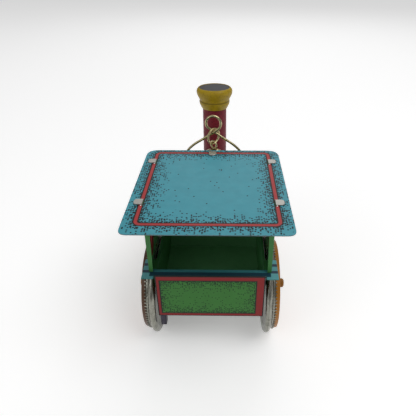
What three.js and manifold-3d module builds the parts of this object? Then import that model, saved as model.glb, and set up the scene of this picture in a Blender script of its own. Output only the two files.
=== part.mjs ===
// Tinplate toy locomotive: lithographed sheet parts held by bent tabs, pressed tin wheels on wire axles,
// and a brass bell that hangs on a chain link from a bent wire bail over the boiler.
// Millimetres. X runs to the locomotive's right, Y forward and Z up from the ground.
// Every Y is measured forward from the roof's rear edge, and every size named ahead from the cab's front
// wall. The finished group is moved back by half of the overall length, so that the origin is the bottom
// centre of the whole box.
import * as THREE from 'three';
import { mergeVertices } from 'three/addons/utils/BufferGeometryUtils.js';
import Module from 'manifold-3d';

// ---- Driving dimensions ------------------------------------------------------------------------------

const TIN = 0.4; // sheet thickness
const SEAT = 0.1; // between pieces that rest on one another
const GAP = 0.3; // round anything that passes through a slot or a cut
const RUNNING = 0.15; // radial clearance of an axle or a wire pivot in its hole

const ROOF = { width: 56.5, length: 62.3, top: 72.4, frontOverhang: 2.1, rearRadius: 3, frontRadius: 5 };
const TAB = { width: 3.4, fold: 3.1, rearInset: 1.8, frontInset: 9.3, centreWidth: 3.1, centreFold: 3.6 };

const BOARD = { top: 41.8, width: 52.4, rear: 13.4, ahead: 29.8, rearStrip: 3.6, crossStrip: 2.7 };
const CAB = { width: 47.2, rear: 17.1, flangeTop: 2.1, flangeFoot: 1.5 };
const WINDOW = { postTop: 9, postFoot: 6.5, sillRise: 5.6, headDrop: 3.4, reach: 21 };
const SPECTACLE = { width: 9, height: 8, offset: 13.4, head: 4.6 };

const BODY = { width: 42.5, rear: 14.7, bottom: 20.5, floorTop: 23.6 };
const FRAME = { ahead: 42.8, step: 6, bottom: 24.5, earDrop: 4, earHalf: 4, flare: 4.5, deckTop: 27.6 };
const LUG = { width: 2.3, depth: 3, bottom: 14.6, inset: 0.15 };

const BOILER = { radius: 13.3, drop: 0.3, wall: 0.5, ahead: 41, frontBulge: 1.6 };
const CHIMNEY = { radius: 5.75, wall: 0.5, ahead: 32.5, lean: -2.5, height: 35.9, dip: 1.5, collar: 1.7 };
const CAP = { height: 10, crown: 7.3, brim: 8.6, neck: 7.3, bead: 7.25, discDrop: 0.25 };

const AXLE = { radius: 1.2, earHole: RUNNING, halfLength: 31 };
const REAR_WHEEL = { y: 33.7, flange: 21.4, tread: 19.5 };
const FRONT_WHEEL = { ahead: 23.8, flange: 14, tread: 12.4 };
const WHEEL = { inner: 22.1, crest: 24, treadStart: 25.1, treadEnd: 26, face: 27.9, hub: 31.7, wall: 0.5 };
const WHEEL_CLEARANCE = 0.45; // round a wheel's flange where sheet is cut away for it

const BAIL = { ahead: 13.3, rise: 3.2, clear: 1, height: 21.55, wire: 1.1, eyeRadius: 3.35, strand: 0.7 };
const LINK = { radius: 3.45, wire: 0.9, lift: 1.4, turn: 45 };
const BELL = { radius: 6.2, height: 11, wall: 0.5, eyeRadius: 1.75, stem: 0.5, hole: 0.8 };
const CLAPPER = { ball: 1.6, rod: 0.4, drop: 8.3 };

const BEAM = { width: 41, bottom: 16 };
const CATCHER = { halfWidth: 18, length: 9.5, bottom: 5, taper: 0.55, wall: 0.9, slots: 4, slot: 1.5 };

// ---- Sizes that follow from them ---------------------------------------------------------------------

const cabFront = ROOF.length - ROOF.frontOverhang;
const tabRows = [CAB.rear + TAB.rearInset, cabFront - TAB.frontInset];
const boardFront = cabFront + BOARD.ahead;
const frameFront = cabFront + FRAME.ahead;
const boilerFront = cabFront + BOILER.ahead;
const boilerZ = BOARD.top - BOILER.drop;
const crownZ = boilerZ + BOILER.radius;
const bailY = cabFront + BAIL.ahead;
const frontWheel = { ...FRONT_WHEEL, y: cabFront + FRONT_WHEEL.ahead };
const boardUnder = BOARD.top - TIN;
const roofUnder = ROOF.top - TIN;
const cabOuter = CAB.width / 2;
const cabInner = cabOuter - TIN;
const bodyOuter = BODY.width / 2;
const bodyInner = bodyOuter - TIN;
const deckUnder = FRAME.deckTop - TIN;
const beamY = frameFront + SEAT;
const catcherY = beamY + TIN + SEAT;
const overallLength = catcherY + CATCHER.length;
const bailPivotZ = BOARD.top + BAIL.rise;
const bailCrossZ = crownZ + BAIL.height;
const linkTopZ = bailCrossZ + LINK.lift;
const linkBottomZ = linkTopZ - 2 * LINK.radius;
const bellEyeZ = linkBottomZ + LINK.wire + SEAT - BELL.eyeRadius;
const bellTopZ = bellEyeZ - BELL.eyeRadius - LINK.wire / 2 - SEAT / 2;

// ---- Finishes ----------------------------------------------------------------------------------------

const FINISH = {
  teal: { color: '#5a9ba9', roughness: 0.35, metalness: 0.1 },
  green: { color: '#3e6a3b', roughness: 0.35, metalness: 0.1 },
  darkGreen: { color: '#17351c', roughness: 0.3, metalness: 0.1 },
  red: { color: '#7e2f35', roughness: 0.4, metalness: 0.1 },
  yellow: { color: '#93821f', roughness: 0.4, metalness: 0 },
  black: { color: '#3a3a3c', roughness: 0.6, metalness: 0 },
  orange: { color: '#a8691c', roughness: 0.4, metalness: 0.1 },
  tin: { color: '#b4b5a7', roughness: 0.3, metalness: 0.9 },
  brass: { color: '#a5935c', roughness: 0.3, metalness: 0.9 },
  darkTin: { color: '#4a4650', roughness: 0.4, metalness: 0.6 },
};

// ---- Closed bodies, joins and cuts -------------------------------------------------------------------

const wasm = await Module();
wasm.setup();

const WELD = 1e-4; // vertices nearer than this are one
const FINE = 32; // sides of a round piece
const WIRE_SIDES = 8;

function signedVolume(position, index) {
  const [a, b, c] = [new THREE.Vector3(), new THREE.Vector3(), new THREE.Vector3()];
  let sum = 0;
  for (let i = 0; i < index.length; i += 3) {
    a.fromBufferAttribute(position, index[i]);
    b.fromBufferAttribute(position, index[i + 1]);
    c.fromBufferAttribute(position, index[i + 2]);
    sum += a.dot(b.cross(c)) / 6;
  }
  return sum;
}

// One welded body with its faces pointing out and no collapsed triangles.
function closed(geometry) {
  const bare = geometry.clone();
  bare.deleteAttribute('normal');
  bare.deleteAttribute('uv');
  const welded = mergeVertices(bare, WELD);
  const index = welded.index.array;
  const kept = [];
  for (let i = 0; i < index.length; i += 3) {
    const [a, b, c] = index.subarray(i, i + 3);
    if (a !== b && b !== c && c !== a) {
      kept.push(a, b, c);
    }
  }
  if (signedVolume(welded.attributes.position, kept) < 0) {
    kept.reverse();
  }
  welded.setIndex(kept);
  return welded;
}

function toSolid(geometry) {
  const body = closed(geometry);
  const vertProperties = new Float32Array(body.attributes.position.array);
  const triVerts = new Uint32Array(body.index.array);
  return new wasm.Manifold(new wasm.Mesh({ numProp: 3, vertProperties, triVerts }));
}

function toGeometry(solid) {
  const mesh = solid.getMesh();
  const geometry = new THREE.BufferGeometry();
  geometry.setAttribute('position', new THREE.BufferAttribute(new Float32Array(mesh.vertProperties), 3));
  geometry.setIndex(new THREE.BufferAttribute(new Uint32Array(mesh.triVerts), 1));
  return geometry;
}

function join(first, ...others) {
  return toGeometry(others.reduce((sum, piece) => sum.add(toSolid(piece)), toSolid(first)));
}

function cut(first, ...tools) {
  return toGeometry(tools.reduce((sum, tool) => sum.subtract(toSolid(tool)), toSolid(first)));
}

// ---- Basic forms -------------------------------------------------------------------------------------

function block([x0, y0, z0], [x1, y1, z1]) {
  const box = new THREE.BoxGeometry(x1 - x0, y1 - y0, z1 - z0);
  return box.translate((x0 + x1) / 2, (y0 + y1) / 2, (z0 + z1) / 2);
}

// A closed outline through corners [u, v, radius], each rounded by a curve that starts that far before it.
function outline(corners, path = new THREE.Shape()) {
  const points = corners.map(([u, v]) => new THREE.Vector2(u, v));
  corners.forEach(([u, v, radius = 0], i) => {
    const towards = (other) => other.clone().sub(points[i]).setLength(radius).add(points[i]);
    const before = towards(points.at(i - 1));
    const after = towards(points[(i + 1) % points.length]);
    if (i === 0) {
      path.moveTo(before.x, before.y);
    } else {
      path.lineTo(before.x, before.y);
    }
    if (radius > 0) {
      path.quadraticCurveTo(u, v, after.x, after.y);
    }
  });
  path.closePath();
  return path;
}

function extruded(shape, depth) {
  return new THREE.ExtrudeGeometry(shape, { depth, bevelEnabled: false, curveSegments: 6 });
}

// A sheet lying flat, with its underside at z and its outline in X and Y.
function flatSheet(shape, z, thickness = TIN) {
  return extruded(shape, thickness).translate(0, 0, z);
}

// A sheet facing sideways, from x outwards, with its outline in Y and Z.
function sideSheet(shape, x, thickness = TIN) {
  const turn = new THREE.Matrix4().makeBasis(
    new THREE.Vector3(0, 1, 0),
    new THREE.Vector3(0, 0, 1),
    new THREE.Vector3(1, 0, 0),
  );
  return extruded(shape, thickness).applyMatrix4(turn).translate(x, 0, 0);
}

// A sheet facing forward, from y forwards, with its outline in X and Z.
function crossSheet(shape, y, thickness = TIN) {
  return extruded(shape, thickness).rotateX(Math.PI / 2).translate(0, y + thickness, 0);
}

// A profile of [radius, height] points turned about Z.
function turned(profile, sides = FINE) {
  const points = profile.map(([radius, height]) => new THREE.Vector2(radius, height));
  return closed(new THREE.LatheGeometry(points, sides).rotateX(Math.PI / 2));
}

function turnedAboutX(profile, sides = FINE) {
  return turned(profile, sides).rotateY(Math.PI / 2);
}

function turnedAboutY(profile, sides = FINE) {
  return turned(profile, sides).rotateX(-Math.PI / 2);
}

// The profile of a plain round bar, for the turning functions above.
function bar(radius, low, high) {
  return [[0, low], [radius, low], [radius, high], [0, high]];
}

// Round wire along a curve.
function wire(curve, diameter, steps) {
  const section = new THREE.Shape();
  section.absarc(0, 0, diameter / 2, 0, 2 * Math.PI);
  const options = { steps, extrudePath: curve, bevelEnabled: false, curveSegments: WIRE_SIDES / 2 };
  return closed(new THREE.ExtrudeGeometry(section, options));
}

// A wire ring standing upright, facing forward.
function ring(radius, diameter) {
  return closed(new THREE.TorusGeometry(radius, diameter / 2, WIRE_SIDES, 28).rotateX(Math.PI / 2));
}

// ---- The model ---------------------------------------------------------------------------------------

const locomotive = new THREE.Group();
locomotive.position.y = -overallLength / 2;

function piece(name, finish, geometry, parent = locomotive) {
  const material = new THREE.MeshStandardMaterial(FINISH[finish]);
  const mesh = new THREE.Mesh(closed(geometry), material);
  mesh.name = name;
  parent.add(mesh);
  return mesh;
}

const SIDES = [['left', -1], ['right', 1]];

// A geometry made for the right side, or its mirror image for the left.
function onSide(geometry, side) {
  return side > 0 ? geometry : geometry.clone().scale(-1, 1, 1);
}

// ---- Roof --------------------------------------------------------------------------------------------

function makeRoof() {
  const half = ROOF.width / 2;
  const edge = outline([
    [-half, 0, ROOF.rearRadius],
    [half, 0, ROOF.rearRadius],
    [half, ROOF.length, ROOF.frontRadius],
    [-half, ROOF.length, ROOF.frontRadius],
  ]);
  const slots = [];
  for (const y of tabRows) {
    for (const [, side] of SIDES) {
      const [x0, x1] = [side * (cabInner - GAP), side * (cabOuter + GAP)].sort((a, b) => a - b);
      const reach = TAB.width / 2 + GAP;
      slots.push(block([x0, y - reach, roofUnder - 1], [x1, y + reach, ROOF.top + 1]));
    }
  }
  const reach = TAB.centreWidth / 2 + GAP;
  const wallRear = cabFront - TIN - GAP;
  slots.push(block([-reach, wallRear, roofUnder - 1], [reach, cabFront + GAP, ROOF.top + 1]));
  piece('roof', 'teal', cut(flatSheet(edge, roofUnder), ...slots));
}

// ---- Cab sides and front -----------------------------------------------------------------------------

function wheelArch() {
  const radius = REAR_WHEEL.flange + WHEEL_CLEARANCE;
  const drum = turnedAboutX(bar(radius, bodyOuter, bodyOuter + BOARD.width));
  return drum.translate(0, REAR_WHEEL.y, REAR_WHEEL.flange);
}

// The opening between the rear post and the sill that sweeps up towards the front.
function windowOutline() {
  const head = roofUnder - WINDOW.headDrop;
  const sill = BOARD.top + WINDOW.sillRise;
  const foot = CAB.rear + WINDOW.postFoot;
  const top = CAB.rear + WINDOW.postTop;
  const reach = CAB.rear + WINDOW.reach;
  const span = reach - foot;
  const path = new THREE.Path();
  path.moveTo(top, head);
  path.lineTo(foot + 0.3, sill + 2);
  path.quadraticCurveTo(foot + 0.1, sill, foot + 1.4, sill + 0.3);
  path.bezierCurveTo(foot + 0.24 * span, sill + 3.5, foot + 0.54 * span, sill + 12.6, reach, head - 2);
  path.quadraticCurveTo(reach + 0.7, head, reach - 1.4, head);
  path.closePath();
  return path;
}

function foldedTab(y) {
  const stem = block(
    [cabInner, y - TAB.width / 2, roofUnder - 1],
    [cabOuter, y + TAB.width / 2, ROOF.top + SEAT + TIN],
  );
  const fold = block(
    [cabInner, y - TAB.width / 2, ROOF.top + SEAT],
    [cabInner + TAB.fold, y + TAB.width / 2, ROOF.top + SEAT + TIN],
  );
  return join(stem, fold);
}

function makeCabSide(name, side) {
  const base = BOARD.top + SEAT;
  const top = roofUnder - SEAT;
  const sheet = outline([[CAB.rear, base], [cabFront, base], [cabFront, top], [CAB.rear, top]]);
  sheet.holes.push(windowOutline());
  const flange = crossSheet(outline([
    [cabOuter - CAB.flangeFoot, base],
    [cabOuter, base],
    [cabOuter, top],
    [cabOuter - CAB.flangeTop, top],
  ]), CAB.rear);
  const whole = join(sideSheet(sheet, cabInner), flange, ...tabRows.map(foldedTab));
  piece(name, 'green', onSide(cut(whole, wheelArch()), side));
}

function spectacle(side) {
  const x = side * SPECTACLE.offset;
  const top = roofUnder - SPECTACLE.head;
  const [half, low] = [SPECTACLE.width / 2, top - SPECTACLE.height];
  return outline(
    [[x - half, low, 1], [x + half, low, 1], [x + half, top, half * 0.8], [x - half, top, half * 0.8]],
    new THREE.Path(),
  );
}

function makeCabFront() {
  const half = cabInner - SEAT;
  const base = BOARD.top + SEAT;
  const sheet = outline([[-half, base], [half, base], [half, roofUnder - SEAT], [-half, roofUnder - SEAT]]);
  sheet.holes.push(spectacle(-1), spectacle(1));
  const rear = cabFront - TIN;
  const reach = TAB.centreWidth / 2;
  const foldTop = ROOF.top + SEAT + TIN;
  const stem = block([-reach, rear, roofUnder - 1], [reach, cabFront, foldTop]);
  const fold = block([-reach, cabFront - TAB.centreFold, foldTop - TIN], [reach, cabFront, foldTop]);
  piece('cab_front_wall', 'darkGreen', join(crossSheet(sheet, rear), stem, fold));
}

// ---- Body below the board ----------------------------------------------------------------------------

function makeRearPanel() {
  const half = bodyOuter;
  const top = BOARD.top + SEAT;
  const sheet = outline([[-half, BODY.bottom], [half, BODY.bottom], [half, top], [-half, top]]);
  piece('rear_panel', 'green', crossSheet(sheet, BODY.rear));
}

const strip = {
  rear: BODY.rear + TIN + SEAT,
  wellRear: BODY.rear + TIN + SEAT + BOARD.rearStrip,
  wellFront: cabFront - BOARD.crossStrip,
};

// The board carries the cab and the boiler. It is cut away for the rear wheels' flanges, the cab's well
// and the lower half of the boiler, and its rear edge is notched for the rear panel.
function makeRunningBoard() {
  const half = BOARD.width / 2;
  const low = boardUnder - 1;
  const high = BOARD.top + 1;
  const front = boardFront;
  const edge = outline([[-half, BOARD.rear], [half, BOARD.rear], [half, front, 3], [-half, front, 3]]);
  const rise = boardUnder - REAR_WHEEL.flange;
  const chordSquared = (REAR_WHEEL.flange + WHEEL_CLEARANCE) ** 2 - rise ** 2;
  const wheelNotches = [];
  if (chordSquared > 0) {
    const notch = Math.sqrt(chordSquared);
    const inboard = WHEEL.inner - GAP;
    const right = block([inboard, REAR_WHEEL.y - notch, low], [half + 1, REAR_WHEEL.y + notch, high]);
    wheelNotches.push(right, onSide(right, -1));
  }
  const well = block([-bodyInner, strip.wellRear, low], [bodyInner, strip.wellFront, high]);
  const boilerCut = BOILER.radius + GAP;
  const boilerSlot = block([-boilerCut, cabFront, low], [boilerCut, boardFront + 1, high]);
  const panelNotch = block([-bodyOuter - GAP, BOARD.rear - 1, low], [bodyOuter + GAP, strip.rear, high]);
  const sheet = flatSheet(edge, boardUnder);
  piece('running_board', 'teal', cut(sheet, well, boilerSlot, panelNotch, ...wheelNotches));
}

// A long side with an ear for each axle, stepping down to the front deck.
function frameOutline() {
  const under = boardUnder - SEAT;
  const { earHalf, earDrop, flare } = FRAME;
  const ear = (wheel, from) => [
    [wheel.y - earHalf - flare, from, 2.5],
    [wheel.y - earHalf, wheel.flange - earDrop, 2.5],
    [wheel.y + earHalf, wheel.flange - earDrop, 2.5],
    [wheel.y + earHalf + flare, from, 2.5],
  ];
  const shape = outline([
    [strip.rear, BODY.bottom],
    ...ear(REAR_WHEEL, BODY.bottom),
    [strip.wellFront, BODY.bottom, 4],
    [strip.wellFront + 7, FRAME.bottom, 4],
    ...ear(frontWheel, FRAME.bottom),
    [frameFront, FRAME.bottom],
    [frameFront, deckUnder - SEAT],
    [boardFront + FRAME.step, deckUnder - SEAT, 4],
    [boardFront - 1, under, 4],
    [strip.rear, under],
  ]);
  for (const wheel of [REAR_WHEEL, frontWheel]) {
    const hole = new THREE.Path();
    hole.absarc(wheel.y, wheel.flange, AXLE.radius + AXLE.earHole, 0, 2 * Math.PI);
    shape.holes.push(hole);
  }
  return shape;
}

function makeFloorPan() {
  const half = bodyInner - SEAT;
  const under = BODY.floorTop - TIN;
  const front = strip.wellFront;
  const floor = block([-half, strip.rear, under], [half, front, BODY.floorTop]);
  const wall = block([-half, front - TIN, under], [half, front, boardUnder - SEAT]);
  piece('floor_pan', 'darkGreen', join(floor, wall));
}

// A short bent strap that hangs below the panel's left corner.
function makeRearLug() {
  const x0 = -bodyInner + LUG.inset;
  const x1 = x0 + LUG.width;
  const top = BODY.floorTop - TIN - SEAT;
  const outer = block([x0, strip.rear, LUG.bottom], [x1, strip.rear + LUG.depth, top]);
  const rear = strip.rear + TIN;
  const inner = block([x0 + TIN, rear, LUG.bottom - 1], [x1 - TIN, rear + LUG.depth, top + 1]);
  piece('rear_lug', 'darkTin', cut(outer, inner));
}

function makeFrontEnd() {
  const half = bodyInner - SEAT;
  const deck = outline([
    [-half, boardFront, 1],
    [half, boardFront, 1],
    [half, frameFront, 0],
    [-half, frameFront, 0],
  ]);
  piece('front_deck', 'teal', flatSheet(deck, deckUnder));
  const [low, high] = [BEAM.bottom, FRAME.deckTop];
  piece('front_beam', 'red', block([-BEAM.width / 2, beamY, low], [BEAM.width / 2, beamY + TIN, high]));
  piece('cowcatcher', 'red', cowcatcher());
}

// A solid wedge whose plan is a triangle that shrinks towards the top.
function wedge(halfWidth, length, bottom, top) {
  const plan = outline([[-halfWidth, 0], [halfWidth, 0], [0, length]]);
  const body = extruded(plan, top - bottom).translate(0, 0, bottom);
  const position = body.attributes.position;
  for (let i = 0; i < position.count; i += 1) {
    if (position.getZ(i) > (bottom + top) / 2) {
      position.setXY(i, position.getX(i) * CATCHER.taper, position.getY(i) * CATCHER.taper);
    }
  }
  return body;
}

// A folded tin plough with upright slots between its slats.
function cowcatcher() {
  const top = FRAME.deckTop - 2;
  const outer = wedge(CATCHER.halfWidth, CATCHER.length, CATCHER.bottom, top);
  const inner = outer.clone().translate(0, -CATCHER.wall, -CATCHER.wall);
  const floorCut = block([-BOARD.width, -1, 0], [BOARD.width, CATCHER.length, CATCHER.bottom + SEAT]);
  const hollow = join(inner, floorCut);
  const reach = CATCHER.halfWidth * CATCHER.taper;
  const pitch = reach / (CATCHER.slots + 0.5);
  const slots = [];
  for (let i = 1; i <= CATCHER.slots; i += 1) {
    for (const [, side] of SIDES) {
      const x = side * pitch * i;
      const [low, high] = [CATCHER.bottom + 2.2, top - 2.2];
      slots.push(block([x - CATCHER.slot / 2, -1, low], [x + CATCHER.slot / 2, CATCHER.length, high]));
    }
  }
  return cut(outer, hollow, ...slots).translate(0, catcherY, 0);
}

// ---- Boiler and chimney ------------------------------------------------------------------------------

// The chimney's own frame: its axis stands on the boiler's crown and leans a little forward.
const chimneyFrame = new THREE.Group();
chimneyFrame.position.set(0, cabFront + CHIMNEY.ahead, crownZ);
chimneyFrame.rotation.x = THREE.MathUtils.degToRad(CHIMNEY.lean);
chimneyFrame.updateMatrix();
const stackTop = CHIMNEY.height / Math.cos(chimneyFrame.rotation.x);

function boilerDrum(radius, rear, front) {
  return turnedAboutY(bar(radius, rear, front)).translate(0, 0, boilerZ);
}

function makeBoiler() {
  const rear = cabFront + SEAT;
  const shell = cut(
    boilerDrum(BOILER.radius, rear, boilerFront),
    boilerDrum(BOILER.radius - BOILER.wall, rear - 1, boilerFront + 1),
  );
  const flue = turned(bar(CHIMNEY.radius + GAP, -2 * CHIMNEY.dip, 2 * CHIMNEY.dip));
  const pivotHoles = turnedAboutX(bar(BAIL.wire / 2 + RUNNING, -BOARD.width, BOARD.width), 16);
  const tools = [flue.applyMatrix4(chimneyFrame.matrix), pivotHoles.translate(0, bailY, bailPivotZ)];
  piece('boiler_shell', 'green', cut(shell, ...tools));

  const { radius, frontBulge } = BOILER;
  const front = turnedAboutY([
    [0, SEAT],
    [radius, SEAT],
    [radius, SEAT + 0.5 * frontBulge],
    [radius * 0.92, SEAT + 0.75 * frontBulge],
    [radius * 0.8, SEAT + 0.5 * frontBulge],
    [radius * 0.35, SEAT + frontBulge],
    [0, SEAT + 1.1 * frontBulge],
  ]);
  piece('boiler_front', 'black', front.translate(0, boilerFront, boilerZ));
}

function makeChimney() {
  locomotive.add(chimneyFrame);
  const { radius, wall, dip } = CHIMNEY;
  const neckZ = stackTop - CAP.height;
  const stack = turned([
    [radius - wall, -dip],
    [radius, -dip],
    [radius, stackTop - 2 * TIN],
    [radius - wall, stackTop - 2 * TIN],
    [radius - wall, -dip],
  ]);
  piece('chimney_stack', 'red', stack, chimneyFrame);

  const bore = radius + SEAT;
  const up = (share) => neckZ + share * CAP.height;
  const cap = turned([
    [bore, neckZ],
    [bore + 0.25, up(0.01)],
    [CAP.bead - 0.6, up(0.12)],
    [CAP.bead, up(0.26)],
    [CAP.neck, up(0.38)],
    [CAP.neck - 0.12, up(0.42)],
    [CAP.neck + 0.3, up(0.52)],
    [CAP.brim - 0.35, up(0.65)],
    [CAP.brim, up(0.78)],
    [CAP.brim - 0.1, up(0.89)],
    [CAP.crown + 0.5, up(0.98)],
    [CAP.crown + 0.1, stackTop],
    [CAP.crown, stackTop - CAP.discDrop],
    [CAP.crown, stackTop - TIN - CAP.discDrop - SEAT],
    [bore, stackTop - TIN - CAP.discDrop - SEAT],
    [bore, neckZ],
  ]);
  piece('chimney_cap', 'yellow', cap, chimneyFrame);

  const discTop = stackTop - CAP.discDrop;
  const disc = turned(bar(CAP.crown - SEAT, discTop - TIN, discTop));
  piece('chimney_disc', 'black', disc, chimneyFrame);

  const skirt = turned([
    [radius + SEAT, -dip],
    [radius + 2.2, -dip],
    [radius + 0.9, CHIMNEY.collar * 0.6],
    [radius + 0.5, CHIMNEY.collar],
    [radius + SEAT, CHIMNEY.collar],
    [radius + SEAT, -dip],
  ]).applyMatrix4(chimneyFrame.matrix);
  const seat = boilerDrum(BOILER.radius + SEAT, cabFront, boilerFront + CHIMNEY.radius);
  piece('chimney_collar', 'yellow', cut(skirt, seat));
}

// ---- Wheels ------------------------------------------------------------------------------------------

// A pressed drum: a web with a rounded flange on the body's side and a tread that runs outwards.
function treadProfile({ flange, tread }) {
  const { inner, crest, treadStart, treadEnd, wall } = WHEEL;
  const bore = AXLE.radius + SEAT;
  const webRadius = tread - 1.2;
  return [
    [bore, inner + 0.8],
    [webRadius - 1.5, inner + 0.8],
    [tread + 0.1, inner],
    [flange - 0.7, inner + 0.2],
    [flange, inner + 1],
    [flange - 0.1, crest],
    [flange - 0.6, crest + 0.6],
    [tread, treadStart],
    [tread - 0.1, treadEnd],
    [tread - 0.1 - wall, treadEnd],
    [tread - wall, crest],
    [webRadius - 1.5, inner + 0.8 + wall],
    [bore, inner + 0.8 + wall],
    [bore, inner + 0.8],
  ];
}

// A printed face, dished between its rim bead and its hub boss.
function faceProfile({ tread }) {
  const { treadEnd, face, wall } = WHEEL;
  const bore = AXLE.radius + SEAT;
  const back = treadEnd + SEAT;
  return [
    [bore, back + 0.9],
    [3.2, back + 0.9],
    [tread * 0.8, back],
    [tread, back],
    [tread - 0.5, face],
    [tread * 0.88, face],
    [tread * 0.8, back + wall],
    [3.6, back + 0.9 + wall],
    [bore, back + 0.9 + wall],
    [bore, back + 0.9],
  ];
}

function hubProfile() {
  const bore = AXLE.radius + SEAT;
  const seat = WHEEL.treadEnd + 2 * SEAT + 0.9 + WHEEL.wall;
  const blind = AXLE.halfLength + SEAT;
  return [
    [0, blind],
    [bore, blind],
    [bore, seat],
    [2.9, seat],
    [2.7, seat + 0.5],
    [2, seat + 0.9],
    [1.95, WHEEL.hub - 0.5],
    [1.4, WHEEL.hub],
    [0, WHEEL.hub],
  ];
}

function makeWheelset(name, wheel) {
  const axleFrame = new THREE.Group();
  axleFrame.position.set(0, wheel.y, wheel.flange);
  locomotive.add(axleFrame);
  const { halfLength, radius } = AXLE;
  piece(`${name}_axle`, 'tin', turnedAboutX(bar(radius, -halfLength, halfLength), 16), axleFrame);
  for (const [label, side] of SIDES) {
    const parts = [
      ['tread', 'tin', turnedAboutX(treadProfile(wheel))],
      ['face', 'orange', turnedAboutX(faceProfile(wheel))],
      ['hub', 'brass', turnedAboutX(hubProfile(), 20)],
    ];
    for (const [part, finish, geometry] of parts) {
      piece(`${name}_${part}_${label}`, finish, onSide(geometry, side), axleFrame);
    }
  }
}

// ---- Bail, chain link, bell and clapper --------------------------------------------------------------

// The wire rises from its bent foot, arches in, crosses its other end and turns once round an eye.
function bailCurve() {
  const { eyeRadius, strand } = BAIL;
  const [pivotZ, crossZ] = [bailPivotZ, bailCrossZ];
  const halfWidth = BOILER.radius + BAIL.clear;
  const foot = BOILER.radius - 2;
  const slope = THREE.MathUtils.degToRad(35);
  const eyeZ = crossZ + eyeRadius / Math.cos(slope);
  const leg = [
    [foot, pivotZ],
    [halfWidth - 1.2, pivotZ],
    [halfWidth - 0.3, pivotZ + 0.35],
    [halfWidth, pivotZ + 1.4],
    [halfWidth, pivotZ + 8],
    [halfWidth, crossZ - 17],
    [halfWidth - 0.6, crossZ - 12.5],
    [halfWidth - 2.3, crossZ - 9.2],
    [halfWidth - 5.3, crossZ - 6.2],
    [4.65, crossZ - 3.25],
    [2, crossZ - 1.4],
  ];
  const eye = [];
  const turns = 12;
  for (let i = 0; i <= turns; i += 1) {
    const t = i / turns;
    const angle = Math.PI + slope + t * -(Math.PI + 2 * slope);
    const lead = strand * (1 - 2 * t) * 0.8;
    eye.push(new THREE.Vector3(eyeRadius * Math.cos(angle), lead, eyeZ + eyeRadius * Math.sin(angle)));
  }
  const lead = (x) => strand * Math.max(0, 1 - x / 8);
  const right = leg.map(([x, z]) => new THREE.Vector3(x, lead(x), z));
  const left = leg.map(([x, z]) => new THREE.Vector3(-x, -lead(x), z)).reverse();
  const crossing = new THREE.Vector3(0, strand, crossZ);
  const points = [...right, crossing, ...eye, crossing.clone().setY(-strand), ...left];
  return new THREE.CatmullRomCurve3(points, false, 'centripetal');
}

function makeHanger() {
  const bailFrame = new THREE.Group();
  bailFrame.position.y = bailY;
  locomotive.add(bailFrame);
  piece('bail', 'brass', wire(bailCurve(), BAIL.wire, 110), bailFrame);

  const turn = THREE.MathUtils.degToRad(LINK.turn);
  const link = ring(LINK.radius, LINK.wire).rotateZ(turn);
  piece('chain_link', 'brass', link.translate(0, 0, linkTopZ - LINK.radius), bailFrame);

  const crownWall = bellTopZ - BELL.wall;
  const collarTop = crownWall - SEAT;
  const eye = ring(BELL.eyeRadius, LINK.wire).rotateZ(-turn).translate(0, 0, bellEyeZ);
  const stem = turned(bar(BELL.stem, collarTop - 1.4, bellTopZ + LINK.wire / 2), 16);
  const collar = turned(bar(BELL.stem + 0.9, collarTop - 0.6, collarTop), 16);
  piece('bell_eye', 'brass', join(eye, stem, collar), bailFrame);
  piece('bell', 'brass', turned(bellProfile(), 32), bailFrame);

  const clapperTop = collarTop - 1.4 - SEAT;
  const clapperRod = turned(bar(CLAPPER.rod, clapperTop - CLAPPER.drop, clapperTop), 12);
  const ball = new THREE.SphereGeometry(CLAPPER.ball, 16, 10);
  ball.rotateX(Math.PI / 2).translate(0, 0, clapperTop - CLAPPER.drop + CLAPPER.ball * 0.6);
  piece('clapper', 'darkTin', join(clapperRod, ball), bailFrame);
}

// The bell's wall, from the hole in its crown down the outside, round the lip and back up the inside.
function bellProfile() {
  const { radius, height, wall, hole } = BELL;
  const outer = [[0.3, 0.01], [0.63, 0.12], [0.84, 0.32], [0.91, 0.6], [0.95, 0.85]];
  const shape = outer.map(([across, down]) => [radius * across, bellTopZ - height * down]);
  const inner = shape.map(([across, z]) => [across - wall, z - wall * 0.6]).reverse();
  const lip = bellTopZ - height;
  return [
    [hole, bellTopZ],
    ...shape,
    [radius, lip],
    [radius - wall * 0.8, lip],
    ...inner,
    [hole, bellTopZ - wall],
    [hole, bellTopZ],
  ];
}

// ---- Assembly ----------------------------------------------------------------------------------------

makeRoof();
for (const [label, side] of SIDES) {
  makeCabSide(`cab_side_${label}`, side);
}
makeCabFront();
makeRearPanel();
makeRunningBoard();
for (const [label, side] of SIDES) {
  piece(`frame_side_${label}`, 'green', onSide(sideSheet(frameOutline(), bodyInner), side));
}
makeFloorPan();
makeRearLug();
makeFrontEnd();
makeBoiler();
makeChimney();
makeWheelset('rear', REAR_WHEEL);
makeWheelset('front', frontWheel);
makeHanger();

export default locomotive;
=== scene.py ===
"""Lithographed tinplate toy locomotive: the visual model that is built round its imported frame.

The classes hold millimetres and the meshes metres. X runs to the locomotive's right, Y forward, Z up.
"""

import logging
import math
from collections.abc import Callable, Iterable, Sequence
from dataclasses import dataclass, field, replace
from enum import Enum
from functools import cache
from typing import Protocol

import bmesh
import bpy
from mathutils import Matrix, Vector


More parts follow.
